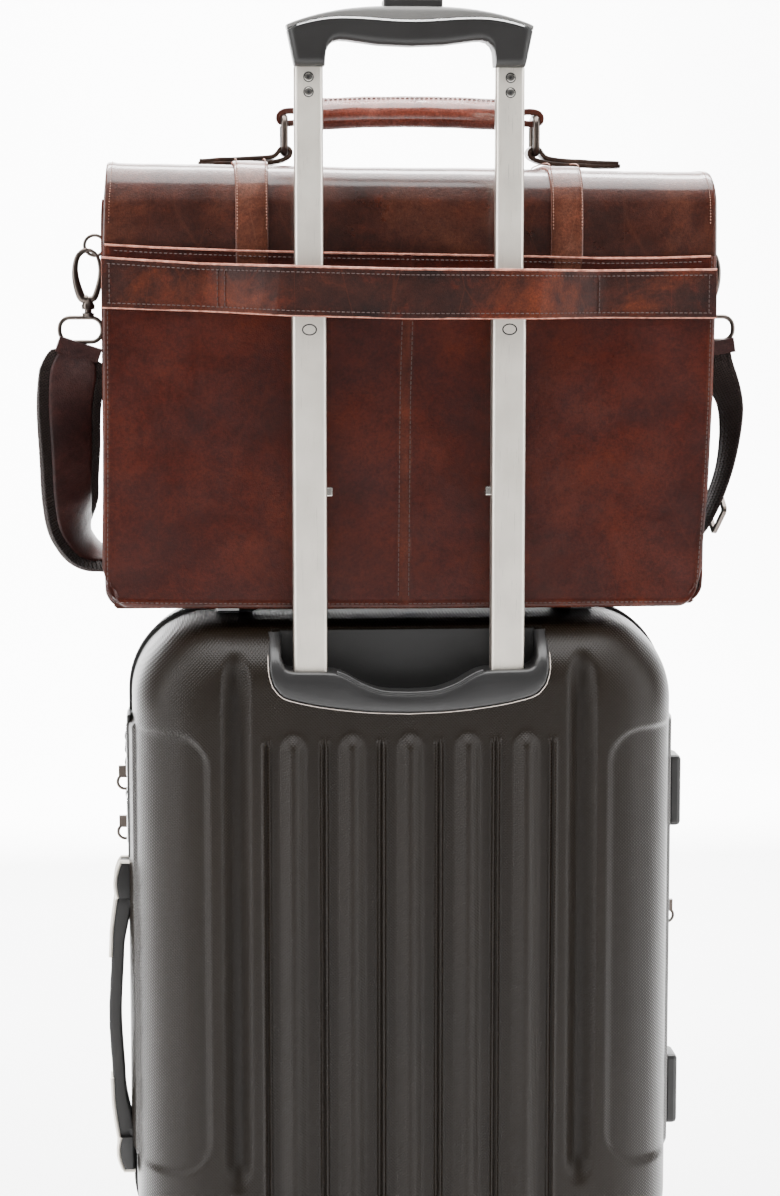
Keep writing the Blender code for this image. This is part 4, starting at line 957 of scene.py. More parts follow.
GRIP_HALF = 0.084
GRIP_Y, GRIP_HALF_DEPTH = -0.1012, 0.0130
GRIP_UNDERSIDE = [
    (0.0, 0.9303), (0.0220, 0.9312), (0.0430, 0.9340), (0.0485, 0.9343), (0.0525, 0.9332),
    (0.0553, 0.9306), (0.0570, 0.9268), (0.0576, 0.9225), (0.0580, 0.9170),
]


def grip_line(x):
    """The wavy line where the grey cover meets the black body."""
    near = min(abs(x), 0.045)
    return 0.9466 + 0.0010 * (1 - cos(pi * near / 0.045)) - 5 * max(0.0, abs(x) - 0.045) ** 2


def grip_top(x):
    """The arched top of the grip."""
    return 0.944 + 0.013 * (1 - (min(abs(x), GRIP_HALF) / GRIP_HALF) ** 2.6)


def grip_part(name, node, material, low_at, high_at, soft_low, soft_high):
    """A slice of the grip between two heights, with rounded long edges and rounded ends."""
    stations = [-GRIP_HALF + 0.0004 * step**1.5 for step in range(6)]
    stations += [-0.0800 + 0.0016 * step for step in range(1, 101)]
    stations += [x for x, z in GRIP_UNDERSIDE]
    stations = {round(side * x, 5) for x in stations for side in (-1, 1)}
    stations = sorted(x for x in stations if abs(x) <= GRIP_HALF)
    rows = []
    for x in stations:
        low, high = low_at(x), high_at(x)
        past = max(0.0, (abs(x) - 0.0780) / (GRIP_HALF - 0.0780))
        reach = GRIP_HALF_DEPTH * (0.62 + 0.38 * sqrt(max(0.0, 1.0 - past**2)))
        high_r = min(soft_high, (high - low) * 0.48)
        low_r = min(soft_low, (high - low) * 0.48)
        row = []
        for cy, cz, start, radius in (
            (reach - high_r, high - high_r, 0, high_r), (-reach + high_r, high - high_r, 90, high_r),
            (-reach + low_r, low + low_r, 180, low_r), (reach - low_r, low + low_r, 270, low_r),
        ):
            for step in range(7):
                angle = radians(start + 90 * step / 6)
                place_z = cz + radius * sin(angle)
                taper = 0.065 * max(0.0, 0.944 - place_z) / 0.027 * step_between(abs(x), 0.058, 0.084)
                row.append((x * (1.0 - taper), GRIP_Y + cy + radius * cos(angle), place_z))
        rows.append(row)
    shape = bmesh.new()
    loft_into(shape, rows)
    add_shape(name, shape, "upper_handle", material, (node,), 35)


grip_part(
    "grip_lower_half", "grip_body", black_plastic, lambda x: between(GRIP_UNDERSIDE, abs(x)),
    lambda x: min(grip_line(x), grip_top(x)) - 0.0004, 0.0054, 0.0008,
)
grip_part(
    "grip_upper_half", "grip_cover", grip_grey,
    lambda x: min(grip_line(x), grip_top(x) - 0.0012) + 0.0004,
    lambda x: max(grip_top(x), grip_line(x) + 0.0016), 0.0008, 0.0066,
)
shape = bmesh.new()
for face_y in (GRIP_Y - GRIP_HALF_DEPTH + 0.0001, GRIP_Y + GRIP_HALF_DEPTH - 0.0004):
    line = [(x / 1000, face_y, grip_line(x / 1000)) for x in range(-77, 78, 2)]
    tube_into(shape, line, 0.0008, 8)
add_shape("grip_trim", shape, "upper_handle", chrome)
keep("release_button", black_plastic, 0.0012, 3)
keep("guide_foot", foot_plastic, 0.0012, 3)


# The moulded frame round the handle's recess, drawn as a smooth band with rolled edges
BEZEL_LEAN = [
    (0.4680, -0.1136), (0.4860, -0.1137), (0.4985, -0.1132), (0.5060, -0.1118), (0.5130, -0.1082),
    (0.5205, -0.1006), (0.5278, -0.0892), (0.5300, -0.0862),
]
POCKET_BACK = -0.0868
SLOT_FRONT, SLOT_BACK = -0.1079, -0.0921


def even_points(points, count):
    """Points evenly spaced along a smooth line through the given (x, z) points."""
    line = smooth_path([(x, 0.0, z) for x, z in points], 12)
    lengths = [0.0]
    for first, second in zip(line, line[1:]):
        lengths.append(lengths[-1] + (second - first).length)
    result = []
    index = 0
    for number in range(count + 1):
        target = lengths[-1] * number / count
        while index < len(line) - 2 and lengths[index + 1] < target:
            index += 1
        span = lengths[index + 1] - lengths[index]
        share = min((target - lengths[index]) / span, 1.0) if span else 0.0
        place = line[index].lerp(line[index + 1], share)
        result.append((place.x, place.z))
    return result


def both_sides(half_line):
    """A line from the right end to the middle, carried on to the left end."""
    return half_line + [(-x, z) for x, z in reversed(half_line[:-1])]


lean_line = [(place.x, place.y) for place in smooth_path([(z, y, 0.0) for z, y in BEZEL_LEAN], 8)]
outer_line = both_sides(
    even_points([(0.0975, 0.5290), (0.0975, 0.5150), (0.0970, 0.5030), (0.0945, 0.4942)], 16)[:-1]
    + even_points(
        [(0.0945, 0.4942), (0.0888, 0.4876), (0.08, 0.484), (0.06, 0.4797), (0.03, 0.476), (0.0, 0.4748)], 60
    )
)
inner_line = both_sides(
    even_points([(0.0890, 0.5290), (0.0890, 0.5190), (0.0889, 0.5125), (0.0866, 0.5064)], 16)[:-1]
    + even_points(
        [
            (0.0866, 0.5064), (0.0810, 0.5042), (0.0600, 0.5036), (0.0500, 0.5026), (0.0420, 0.4990),
            (0.0340, 0.4944), (0.0250, 0.4907), (0.0160, 0.4886), (0.0, 0.4878),
        ],
        60,
    )
)
shape = bmesh.new()
rows = []
for (xa, za), (xb, zb) in zip(outer_line, inner_line):
    width = hypot(xb - xa, zb - za)
    row = []
    for across, behind in (
        (0.0, 0.0100), (0.0, 0.0018), (0.0003, 0.0009), (0.0009, 0.0003), (0.0020, 0.0),
        (0.33 * width, -0.0004), (0.60 * width, -0.0004), (width - 0.0026, 0.0),
        (width - 0.0012, 0.0005), (width - 0.0003, 0.0015), (width, 0.0028), (width, SLOT_FRONT),
        (width, SLOT_BACK), (width, POCKET_BACK),
    ):
        share = across / width
        x, z = xa + (xb - xa) * share, za + (zb - za) * share
        lean = between(lean_line, z)
        y = max(behind, min(lean + 0.0030, POCKET_BACK)) if behind < SLOT_BACK / 2 else lean + behind
        y = min(y, POCKET_BACK + 0.0040)
        row.append((x, y, z))
    rows.append(row)
grid_into(shape, rows)
slots = []
for face in shape.faces:
    place = face.calc_center_median()
    if abs(place.y - TUBE_Y) < 0.001 and abs(abs(place.x) - TUBE_X) < 0.0122 and place.z < 0.508:
        slots.append(face)
bmesh.ops.delete(shape, geom=slots, context="FACES")
add_shape("bezel_frame", shape, "hard_case", bezel_plastic, ("handle_bezel",), 50)
# The pocket's floor behind the tubes, in the darker grey: painted shade of the recess
shape = bmesh.new()
rows = []
for x, z in inner_line:
    rows.append([(x * 1.004, POCKET_BACK, z - 0.0006), (x * 1.004, POCKET_BACK, 0.5296)])
grid_into(shape, rows)
add_shape("bezel_pocket", shape, "hard_case", recess_shade_plastic, ("handle_bezel",))
shape = bmesh.new()
lip = [(x, between(lean_line, z) + 0.0016, z + 0.0002) for x, z in inner_line if abs(x) < 0.0520]
tube_into(shape, lip, 0.0015, 10)
add_shape("bezel_lip", shape, "hard_case", bezel_plastic)
shape = bmesh.new()
bead = [(x * 1.008, between(lean_line, z) + 0.0016, z - 0.0009) for x, z in outer_line if z < 0.5230]
tube_into(shape, bead, 0.00048, 6)
add_shape("bezel_bead", shape, "hard_case", dark_aluminium_side_shade)


# The leather case
CASE_SIDES = [  # height, left edge, right edge
    (0.5400, -0.2015, 0.2005),
    (0.5490, -0.2095, 0.2062),
    (0.5600, -0.2122, 0.2085),
    (0.5800, -0.2120, 0.2096),
    (0.6200, -0.2112, 0.2124),
    (0.6900, -0.2104, 0.2149),
    (0.7600, -0.2098, 0.2160),
    (0.8000, -0.2094, 0.2160),
    (0.8280, -0.2084, 0.2158),
    (0.8520, -0.2062, 0.2140),
]
BOTTOM_EDGE = [
    (-0.215, 0.5478), (-0.18, 0.5464), (-0.089, 0.5449), (0.0, 0.5442), (0.094, 0.5440), (0.215, 0.5440)
]
POCKET_LIP = [
    (-0.2150, 0.7974), (-0.1701, 0.7949), (-0.1154, 0.7929), (-0.0570, 0.7915), (0.0621, 0.7895),
    (0.1340, 0.7878), (0.1761, 0.7880), (0.2200, 0.7894),
]
BAND_TOP = [
    (-0.2150, 0.7885), (-0.1429, 0.7840), (-0.0785, 0.7823), (-0.0009, 0.7803), (0.0578, 0.7800),
    (0.1337, 0.7792), (0.2200, 0.7800),
]
BAND_BOTTOM = [
    (-0.2150, 0.7545), (-0.1432, 0.7520), (-0.0786, 0.7492), (-0.0009, 0.7472), (0.134, 0.7471),
    (0.22, 0.7467)
]
REAR_Y = -0.0868


def side_at(z, column):
    """The case's left (1) or right (2) edge at a height."""
    return between([(row[0], row[column]) for row in CASE_SIDES], z)


def wave(x, z, scale, seed=0.0):
    """Smooth noise from -1 to 1."""
    return noise.noise(Vector((x * scale, seed, z * scale)))


def leather_sheet(name, place, cells, thickness, body, materials, replaced=(), inward=-1.0):
    """A leather sheet: place gives a point for 0..1 by 0..1; the sheet has thickness and a cut edge."""
    columns, lines = cells
    shape = bmesh.new()
    rows = [[place(c / columns, r / lines) for c in range(columns + 1)] for r in range(lines + 1)]
    grid_into(shape, rows)
    mesh = bpy.data.meshes.new(name)
    shape.to_mesh(mesh)
    shape.free()
    piece = add_piece(name, mesh, body, materials, replaced, smooth_angle=60)
    solid = piece.modifiers.new("hide", "SOLIDIFY")
    solid.thickness = thickness
    solid.offset = inward
    solid.material_offset_rim = 1 if len(materials) > 1 else 0
    edge = piece.modifiers.new("worn_edges", "BEVEL")
    edge.width = min(0.0006, 0.3 * thickness)
    edge.segments = 2
    edge.limit_method = "ANGLE"
    edge.angle_limit = radians(50)
    return piece


CASE_CORNER = 0.0112
POCKET_LOW, POCKET_HIGH = 0.5436, 0.7930
FRONT_SEAM_LOW = 0.5535
SEAM_TURN = 0.5570
CASE_BASE, REAR_TOP, FRONT_TOP = 0.5460, 0.8240, 0.8040
SEAM_LINE = [(0.54, -0.0028), (0.69, -0.0015), (0.7455, 0.0), (0.80, 0.0)]


def edge_rise(edge, rise, inner, outer, drop, soft):
    """How far a sheet stands out near its edge: a bound rim that rounds off at the very edge."""
    return rise * (1.0 - step_between(edge, inner, outer)) - drop * (1.0 - step_between(edge, 0.0, soft))


def corner_rise(from_side):
    """How far the rounded lower corner rises at a distance from the side."""
    return CASE_CORNER - sqrt(max(CASE_CORNER**2 - max(CASE_CORNER - from_side, 0.0) ** 2, 0.0))


def pocket_place(u, v):
    """The outer face of the rear pocket: bound edges, a raised centre seam and slack leather between."""
    rough_z = POCKET_LOW + (POCKET_HIGH - POCKET_LOW) * v
    left, right = side_at(rough_z, 1), side_at(rough_z, 2)
    x = left + (right - left) * u
    low = between(BOTTOM_EDGE, x) + corner_rise(max(min(x - left, right - x), 0.0))
    lip = between(POCKET_LIP, x)
    z = low + (lip - low) * v
    edge = min(x - left, right - x, z - low)
    out = edge_rise(edge, 0.0006, 0.0040, 0.0050, 0.0014, 0.0022)
    seam_far = abs(x - between(SEAM_LINE, z))
    out += 0.0010 * sqrt(max(0.0, 1.0 - (seam_far / 0.0044) ** 2))
    free = step_between(edge, 0.006, 0.05) * step_between(seam_far, 0.004, 0.03)
    slack = free * (0.0011 * wave(x, z, 9.0, 3.1) + 0.0004 * wave(x, z, 31.0, 7.7))
    out += slack * step_between(abs(x), 0.086, 0.12)
    out += free * 0.0003 * wave(x, z, 25.0, 4.4)
    return (x, REAR_Y - out + 0.0006, z)


piece = leather_sheet(
    "rear_pocket_leather", pocket_place, (260, 150), 0.0030, "laptop_case",
    [case_leather, seam_leather, seam_leather, seam_leather], ("rear_pocket",),
)
for face in piece.data.polygons:
    z = face.center.z
    x = face.center.x
    if abs(x - between(SEAM_LINE, z)) < 0.0042 and z < 0.752:
        face.material_index = 2
    if min(x - side_at(z, 1), side_at(z, 2) - x, z - between(BOTTOM_EDGE, x)) < 0.0045:
        face.material_index = 2


def rear_line(points, offset_y):
    """Points of (x, z) on the rear of the case."""
    return [Vector((x, REAR_Y + offset_y, z)) for x, z in points]


bound_edge = [(side_at(z, 1) + 0.0034, z) for z in spread(0.790, SEAM_TURN, 40)]
for step in range(0, 9):
    angle = radians(180 + 90 * step / 8)
    bound_edge.append((-0.2018 + 0.0062 * cos(angle), SEAM_TURN + 0.0066 * sin(angle)))
bound_edge += [(x, between(BOTTOM_EDGE, x) + 0.0036) for x in spread(-0.2010, 0.2010, 40)[1:-1]]
right_edge = [(side_at(z, 2) - 0.0034, z) for z in spread(SEAM_TURN, 0.790, 40)]
seam_sides = []
for side in (-1, 1):
    heights = [z / 1000 for z in range(553, 750, 6)]
    seam_sides.append([(between(SEAM_LINE, z) + side * 0.0036, z) for z in heights])
lip_line = [(x / 1000, between(POCKET_LIP, x / 1000) - 0.0034) for x in range(-202, 211, 6)]
seam(
    "pocket_stitching",
    [rear_line(bound_edge, -0.0002), rear_line(right_edge, -0.0002), rear_line(lip_line, -0.0002)]
    + [rear_line(line, -0.0002) for line in seam_sides],
    "laptop_case",
    rust_thread,
)


shape = bmesh.new()
lip_places = [x / 1000 for x in range(-208, 214, 4)]
lip_bead = [(x, REAR_Y + 0.0004, between(POCKET_LIP, x) + 0.0002) for x in lip_places]
tube_into(shape, lip_bead, 0.0008, 8)
add_shape("pocket_lip_bead", shape, "laptop_case", raw_edge)


def rear_panel_place(u, v):
    """The rear panel behind the pocket."""
    z = CASE_BASE + (REAR_TOP - CASE_BASE) * v
    x = side_at(z, 1) + 0.002 + (side_at(z, 2) - side_at(z, 1) - 0.004) * u
    from_side = min(x - side_at(z, 1), side_at(z, 2) - x)
    z = max(z, 0.5465 + corner_rise(from_side))
    return (x, -0.0822 + 0.0004 * wave(x, z, 20.0, 1.0), z)


leather_sheet(
    "case_rear_leather", rear_panel_place, (60, 40), 0.0032, "laptop_case", [case_leather, seam_leather],
    ("case_rear_panel",),
)


def front_panel_place(u, v):
    """The front panel under the flap; its columns run from right to left so that it faces forward."""
    z = CASE_BASE + (FRONT_TOP - CASE_BASE) * v
    x = side_at(z, 2) - 0.001 - (side_at(z, 2) - side_at(z, 1) - 0.002) * u
    from_side = min(x - side_at(z, 1), side_at(z, 2) - x)
    z = max(z, CASE_BASE + corner_rise(from_side))
    edge = min(from_side, z - CASE_BASE)
    out = edge_rise(edge, 0.0007, 0.0058, 0.0072, 0.0012, 0.0022)
    return (x, 0.0450 + out + 0.0005 * wave(x, z, 14.0, 5.0), z)


leather_sheet(
    "case_front_leather", front_panel_place, (160, 90), 0.0034, "laptop_case",
    [case_leather, seam_leather], ("case_front_panel",),
)
front_row = [(side_at(z, 1) + 0.0040, z) for z in spread(0.800, FRONT_SEAM_LOW, 59)]
front_row += [(x, FRONT_SEAM_LOW) for x in spread(-0.2010, 0.2010, 60)[1:-1]]
front_row += [(side_at(z, 2) - 0.0040, z) for z in spread(FRONT_SEAM_LOW, 0.800, 59)]
front_row = [Vector((x, 0.0459, z)) for x, z in front_row]
seam("front_stitching", [front_row], "laptop_case", rust_thread, "brown_leather", FORWARD)

# The gusset: one strip down the left side, along the bottom and up the right, folded in at the sides
GUSSET_SPINE = [
    (-0.2076, 0.8280), (-0.2085, 0.8120), (-0.2088, 0.7600), (-0.2090, 0.6500), (-0.2088, 0.5800),
    (-0.2085, 0.5600), (-0.2072, 0.5545), (-0.2042, 0.5505), (-0.1998, 0.5480), (-0.1940, 0.5472),
    (-0.1000, 0.5470), (0.0, 0.5470),
]
GUSSET_REAR, GUSSET_FRONT = -0.0790, 0.0418
GUSSET_FOLD = 0.0105
gusset_left = smooth_path([(x, 0.0, z) for x, z in GUSSET_SPINE], 10)
gusset_right = [Vector((-point.x, 0.0, point.z)) for point in reversed(gusset_left[:-1])]
gusset_line = gusset_left + gusset_right


def gusset_place(u, v):
    """The side strip: u is along it, v is across it from the rear to the front."""
    place = u * (len(gusset_line) - 1)
    index = min(int(place), len(gusset_line) - 2)
    point = gusset_line[index].lerp(gusset_line[index + 1], place - index)
    y = GUSSET_REAR + (GUSSET_FRONT - GUSSET_REAR) * v
    fold = exp(-(((v - 0.5) / 0.16) ** 2)) - 0.35 * exp(-(((v - 0.24) / 0.10) ** 2))
    fold -= 0.35 * exp(-(((v - 0.76) / 0.10) ** 2))
    depth = GUSSET_FOLD * step_between(point.z, 0.560, 0.640)
    inward = -1.0 if point.x > 0 else 1.0
    x = point.x + inward * max(fold, -0.03) * depth
    return (x, y, point.z + 0.0004 * wave(point.x, y, 30.0, 9.0))


leather_sheet(
    "case_gusset_leather", gusset_place, (220, 40), 0.0020, "laptop_case", [case_leather, seam_leather],
    ("case_gusset",),
)


DIVIDER_HALF_WIDTH, DIVIDER_Y = 0.1915, -0.0476
DIVIDER_LOW, DIVIDER_HIGH = 0.5520, 0.8120


def divider_place(u, v):
    """The padded laptop divider, with shallow quilting."""
    x = DIVIDER_HALF_WIDTH * (2 * u - 1)
    z = DIVIDER_LOW + (DIVIDER_HIGH - DIVIDER_LOW) * v
    quilt = abs(sin(pi * x / 0.048)) ** 0.5 * abs(sin(pi * (z - DIVIDER_LOW) / 0.052)) ** 0.5
    return (x, DIVIDER_Y - 0.0018 * quilt, z)


piece = leather_sheet(
    "divider_cloth", divider_place, (160, 110), 0.0034, "laptop_case", [lining_cloth, case_leather],
    ("laptop_divider",),
)


# The trolley band, sewn at both sides and standing off over the pull handle
BAND_NEAR, BAND_FAR = -0.0895, -0.1182
BAND_LEFT, BAND_RIGHT = -0.2104, 0.2163
BAND_CREASES = (-0.0905, -0.1010, -0.1120, 0.0900, 0.1020, 0.1150)


def band_depth(x):
    """How far back the band's outer face stands at x."""
    return BAND_NEAR + (BAND_FAR - BAND_NEAR) * (1.0 - step_between(abs(x + 0.001), 0.0830, 0.1420))


def band_place(u, v):
    """The trolley band's outer face, creased where it bends over the tubes."""
    x = BAND_LEFT + (BAND_RIGHT - BAND_LEFT) * u
    low, high = between(BAND_BOTTOM, x), between(BAND_TOP, x)
    z = low + (high - low) * v
    crease = 0.0
    for centre in BAND_CREASES:
        crease += exp(-(((x - centre - 0.004 * (v - 0.5)) / 0.0022) ** 2))
    out = 0.0003 * crease - 0.0003
    out += 0.0004 * wave(x, z, 34.0, 2.0) + 0.00012 * wave(x, z, 160.0, 2.5)
    return (x, band_depth(x) - out, z)


leather_sheet(
    "trolley_band_leather", band_place, (330, 28), 0.0026, "laptop_case", [band_leather, raw_edge],
    ("trolley_band",),
)
shape = bmesh.new()
for edge_line, rise, reach in ((BAND_TOP, 0.0002, 0.0009), (BAND_BOTTOM, 0.0, 0.0006)):
    band_bead = []
    for x in spread(-0.2100, 0.2160, 213):
        band_bead.append((x, band_depth(x) + 0.0008, between(edge_line, x) + rise))
    tube_into(shape, band_bead, reach, 8)
add_shape("band_beads", shape, "laptop_case", raw_edge)
band_rows = []
for rise in (0.0036, None):
    row = []
    for x in spread(-0.2070, 0.2130, 106):
        z = between(BAND_TOP, x) - rise if rise else between(BAND_BOTTOM, x) + 0.0034
        row.append(Vector((x, band_depth(x) - 0.0004, z)))
    band_rows.append(row)
for x in (-0.1312, -0.1262, 0.1332, -0.2050, 0.2105):
    low, high = between(BAND_BOTTOM, x) + 0.0034, between(BAND_TOP, x) - 0.0036
    band_rows.append([Vector((x, band_depth(x) - 0.0004, z)) for z in spread(low, high, 8)])
seam("band_stitching", band_rows, "laptop_case", rust_thread)


# The flap: from behind the pocket lip, over the top and down the front
FLAP_SPINE = [
    (-0.0836, 0.7740), (-0.0838, 0.8000), (-0.0836, 0.8160), (-0.0824, 0.8290), (-0.0788, 0.8395),
    (-0.0715, 0.8470), (-0.0600, 0.8508), (-0.0300, 0.8520), (0.0150, 0.8518), (0.0370, 0.8508),
    (0.0450, 0.8470), (0.0484, 0.8390), (0.0492, 0.8200), (0.0490, 0.7400), (0.0488, 0.6404),
]


def spine_frames(points, steps=10):
    """A smooth line in Y and Z with the outward normal at each point."""
    curve = smooth_path([(0.0, y, z) for y, z in points], steps)
    frames = []
    for index, point in enumerate(curve):
        before = curve[max(index - 1, 0)]
        after = curve[min(index + 1, len(curve) - 1)]
        along = (after - before).normalized()
        frames.append((point, Vector((0.0, -along.z, along.y))))
    return frames


flap_frames = spine_frames(FLAP_SPINE)
FLAP_SIDES = (-0.2068, 0.2150)
FLAP_REAR = -0.05
CASE_TOP = CASE_SIDES[-1][0]


def along_frames(frames, share):
    """The point and normal at a share of the line."""
    place = share * (len(frames) - 1)
    index = min(int(place), len(frames) - 2)
    part = place - index
    point = frames[index][0].lerp(frames[index + 1][0], part)
    normal = frames[index][1].lerp(frames[index + 1][1], part).normalized()
    return point, normal


def flap_raise(x, z):
    """How much the flap's top tilts up or down at x."""
    return (-0.0052 * (x + 0.2) / 0.4 + 0.0022) * step_between(z, 0.830, 0.850)


def flap_side(point, column):
    """The left (1) or right (2) edge of the case under the flap."""
    return side_at(min(point.z, CASE_TOP), column) if point.y < FLAP_REAR else FLAP_SIDES[column - 1]


def flap_place(u, v):
    """The flap's outer face: u is across, v runs from the rear lip to the front edge."""
    point, normal = along_frames(flap_frames, v)
    z = point.z
    left, right = flap_side(point, 1), flap_side(point, 2)
    if point.y < FLAP_REAR:
        left, right = left - 0.0002, right + 0.0010
    x = left + (right - left) * u
    edge = min(x - left, right - x)
    out = edge_rise(edge, 0.0005, 0.0058, 0.0070, 0.0012, 0.0020)
    out += 0.0007 * wave(x, z, 12.0, 8.0 + point.y * 9.0) + 0.0003 * wave(x, z, 40.0, 6.0)
    return (x, point.y + normal.y * out, z + normal.z * out + flap_raise(x, z))


flap_piece = leather_sheet(
    "flap_leather_sheet", flap_place, (220, 130), 0.0028, None, [flap_leather, raw_edge],
    ("flap",),
)
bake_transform(flap_piece)


def blended_seam(name, paths, thread, normal_at):
    """Rows of stitches that bend with the flap; normal_at gives the outward direction at a point."""
    shape = bmesh.new()
    for path in paths:
        for start, end in zip(path, path[1:]):
            stitches_into(shape, [start, end], normal_at((start + end) / 2))
    piece = add_shape(name, shape, None, thread)
    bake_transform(piece)


def strip_rows(frames, x_at, lift, first=0.0, last=1.0, length=0.0042):
    """A row of points along the frames at x, lifted off the line."""
    total = sum((b[0] - a[0]).length for a, b in zip(frames, frames[1:]))
    count = round(total * (last - first) / length)
    row = []
    for step in range(count + 1):
        point, normal = along_frames(frames, first + (last - first) * step / count)
        row.append(Vector((x_at(point), point.y, point.z)) + normal * lift)
    return row


def flap_normal(place):
    """The flap's outward direction near a point."""
    nearest = min(flap_frames, key=lambda item: hypot(item[0].y - place.y, item[0].z - place.z))
    return nearest[1]


flap_rows = []
for column, side in ((1, 1), (2, -1)):
    row = strip_rows(flap_frames, lambda point: flap_side(point, column) + side * 0.0040, 0.0003, 0.12)
    flap_rows.append([Vector((p.x, p.y, p.z + flap_raise(p.x, p.z))) for p in row])
flap_rows.append([Vector((-0.2 + 0.0042 * step, 0.0492, 0.6436)) for step in range(0, 99)])
blended_seam("flap_stitching", flap_rows, light_thread, flap_normal)


# The two belts over the flap
BELT_SPINE = FLAP_SPINE[:-1] + [(0.0490, 0.6570)]
belt_frames = spine_frames(BELT_SPINE)


def belt_piece(word, rear_x, front_x):
    """One belt over the flap and its two rows of stitches; x is given at the rear and at the front."""

    def belt_x(point):
        """The belt's middle: it leans a little between the rear and the front."""
        return rear_x + (front_x - rear_x) * step_between(point.y, -0.08, 0.045)

    def place(u, v):
        """A point of the belt: u is across it, v along it."""
        point, normal = along_frames(belt_frames, v)
        half = 0.0114 + 0.0012 * step_between(point.y, -0.082, -0.05)
        across = (u - 0.5) * 2
        x = belt_x(point) + half * across
        out = 0.0027 - 0.0006 * step_between(abs(across), 0.82, 1.0)
        out += 0.0003 * wave(x, point.z + point.y, 60.0, 1.5)
        return (x, point.y + normal.y * out, point.z + normal.z * out + flap_raise(x, point.z))

    piece = leather_sheet(
        f"belt_leather_{word}", place, (16, 150), 0.0024, None, [belt_leather, raw_edge],
        (f"belt_{word}",)
    )
    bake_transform(piece)
    rows = []
    for side in (-1, 1):
        row = strip_rows(belt_frames, lambda point: belt_x(point) + side * 0.0100, 0.0042, 0.10)
        rows.append([Vector((p.x, p.y, p.z + flap_raise(p.x, p.z))) for p in row])
    blended_seam(f"belt_stitching_{word}", rows, light_thread, flap_normal)


belt_piece("left", -0.1071, -0.1075)
belt_piece("right", 0.1112, 0.1120)
for word in ("left", "right"):
    keep(f"belt_buckle_{word}", brass, 0.0004)


# Carry handle: a leather roll whose ends fold over two metal links, and the tabs that hold the links
HANDLE_Y = -0.015
HANDLE_HALF = 0.009
LINK_LEFT, LINK_RIGHT = -0.082, 0.097
LINK_LOW, LINK_HIGH = 0.8622, 0.8868
ROLL_LEFT, ROLL_RIGHT = -0.0700, 0.0850
HANDLE_EDGES = (HANDLE_Y - HANDLE_HALF, HANDLE_Y + HANDLE_HALF)


def strip_along(name, spine, thickness, y_range, body, materials, replaced=(), wrinkle=0.0):
    """A leather strip of a width in Y that follows a line of (x, z) points."""
    curve = smooth_path([(x, 0.0, z) for x, z in spine], 8)
    last = len(curve) - 1

    def place(u, v):
        """A point of the strip: u is along its line, v across it."""
        index = round(u * last)
        point = curve[index]
        y = y_range[0] + (y_range[1] - y_range[0]) * v
        ripple = wrinkle * wave(point.x, y, 90.0, 3.3)
        return (point.x, y, point.z + ripple)

    leather_sheet(name, place, (last, 8), thickness, body, materials, replaced, 0.0)


def roll_at(share):
    """The roll's x, thickness share and centre height at a share of its length."""
    away = abs(share - 0.5) * 2
    x = ROLL_LEFT + (ROLL_RIGHT - ROLL_LEFT) * share
    return x, 1.0 - 0.55 * step_between(away, 0.80, 1.0), LINK_HIGH + 0.0026 * (1.0 - away**2) + 0.0006


def handle_roll():
    """The padded middle of the handle, with the seam flange on its top."""
    shape = bmesh.new()
    rows = []
    count = 90
    for step in range(count + 1):
        x, swell, centre = roll_at(step / count)
        half_y, half_z = HANDLE_HALF * (0.93 + 0.07 * swell), 0.0098 * swell
        row = []
        for turn in range(40):
            angle = 2 * pi * turn / 40
            dy = half_y * cos(angle)
            dz = half_z * sin(angle)
            if dz > 0:
                dz += 0.0026 * swell * exp(-((dy / 0.0021) ** 2))
            row.append((x, HANDLE_Y + dy, centre + dz + 0.00035 * wave(x, dz * 4, 60.0, 1.0)))
        rows.append(row)
    loft_into(shape, rows)
    mesh = finished(shape, "handle_roll")
    piece = add_piece(
        "handle_roll", mesh, "carry_handle", handle_leather, ("carry_handle",), 60
    )
    paths = []
    for side in (-1, 1):
        path = []
        for step in range(4, 87):
            x, swell, centre = roll_at(step / count)
            path.append(Vector((x, HANDLE_Y + side * 0.0020, centre + 0.0098 * swell + 0.0012 * swell)))
        paths.append(path)
    seam("handle_stitching", paths, "carry_handle", dark_thread, "brown_leather", UP)


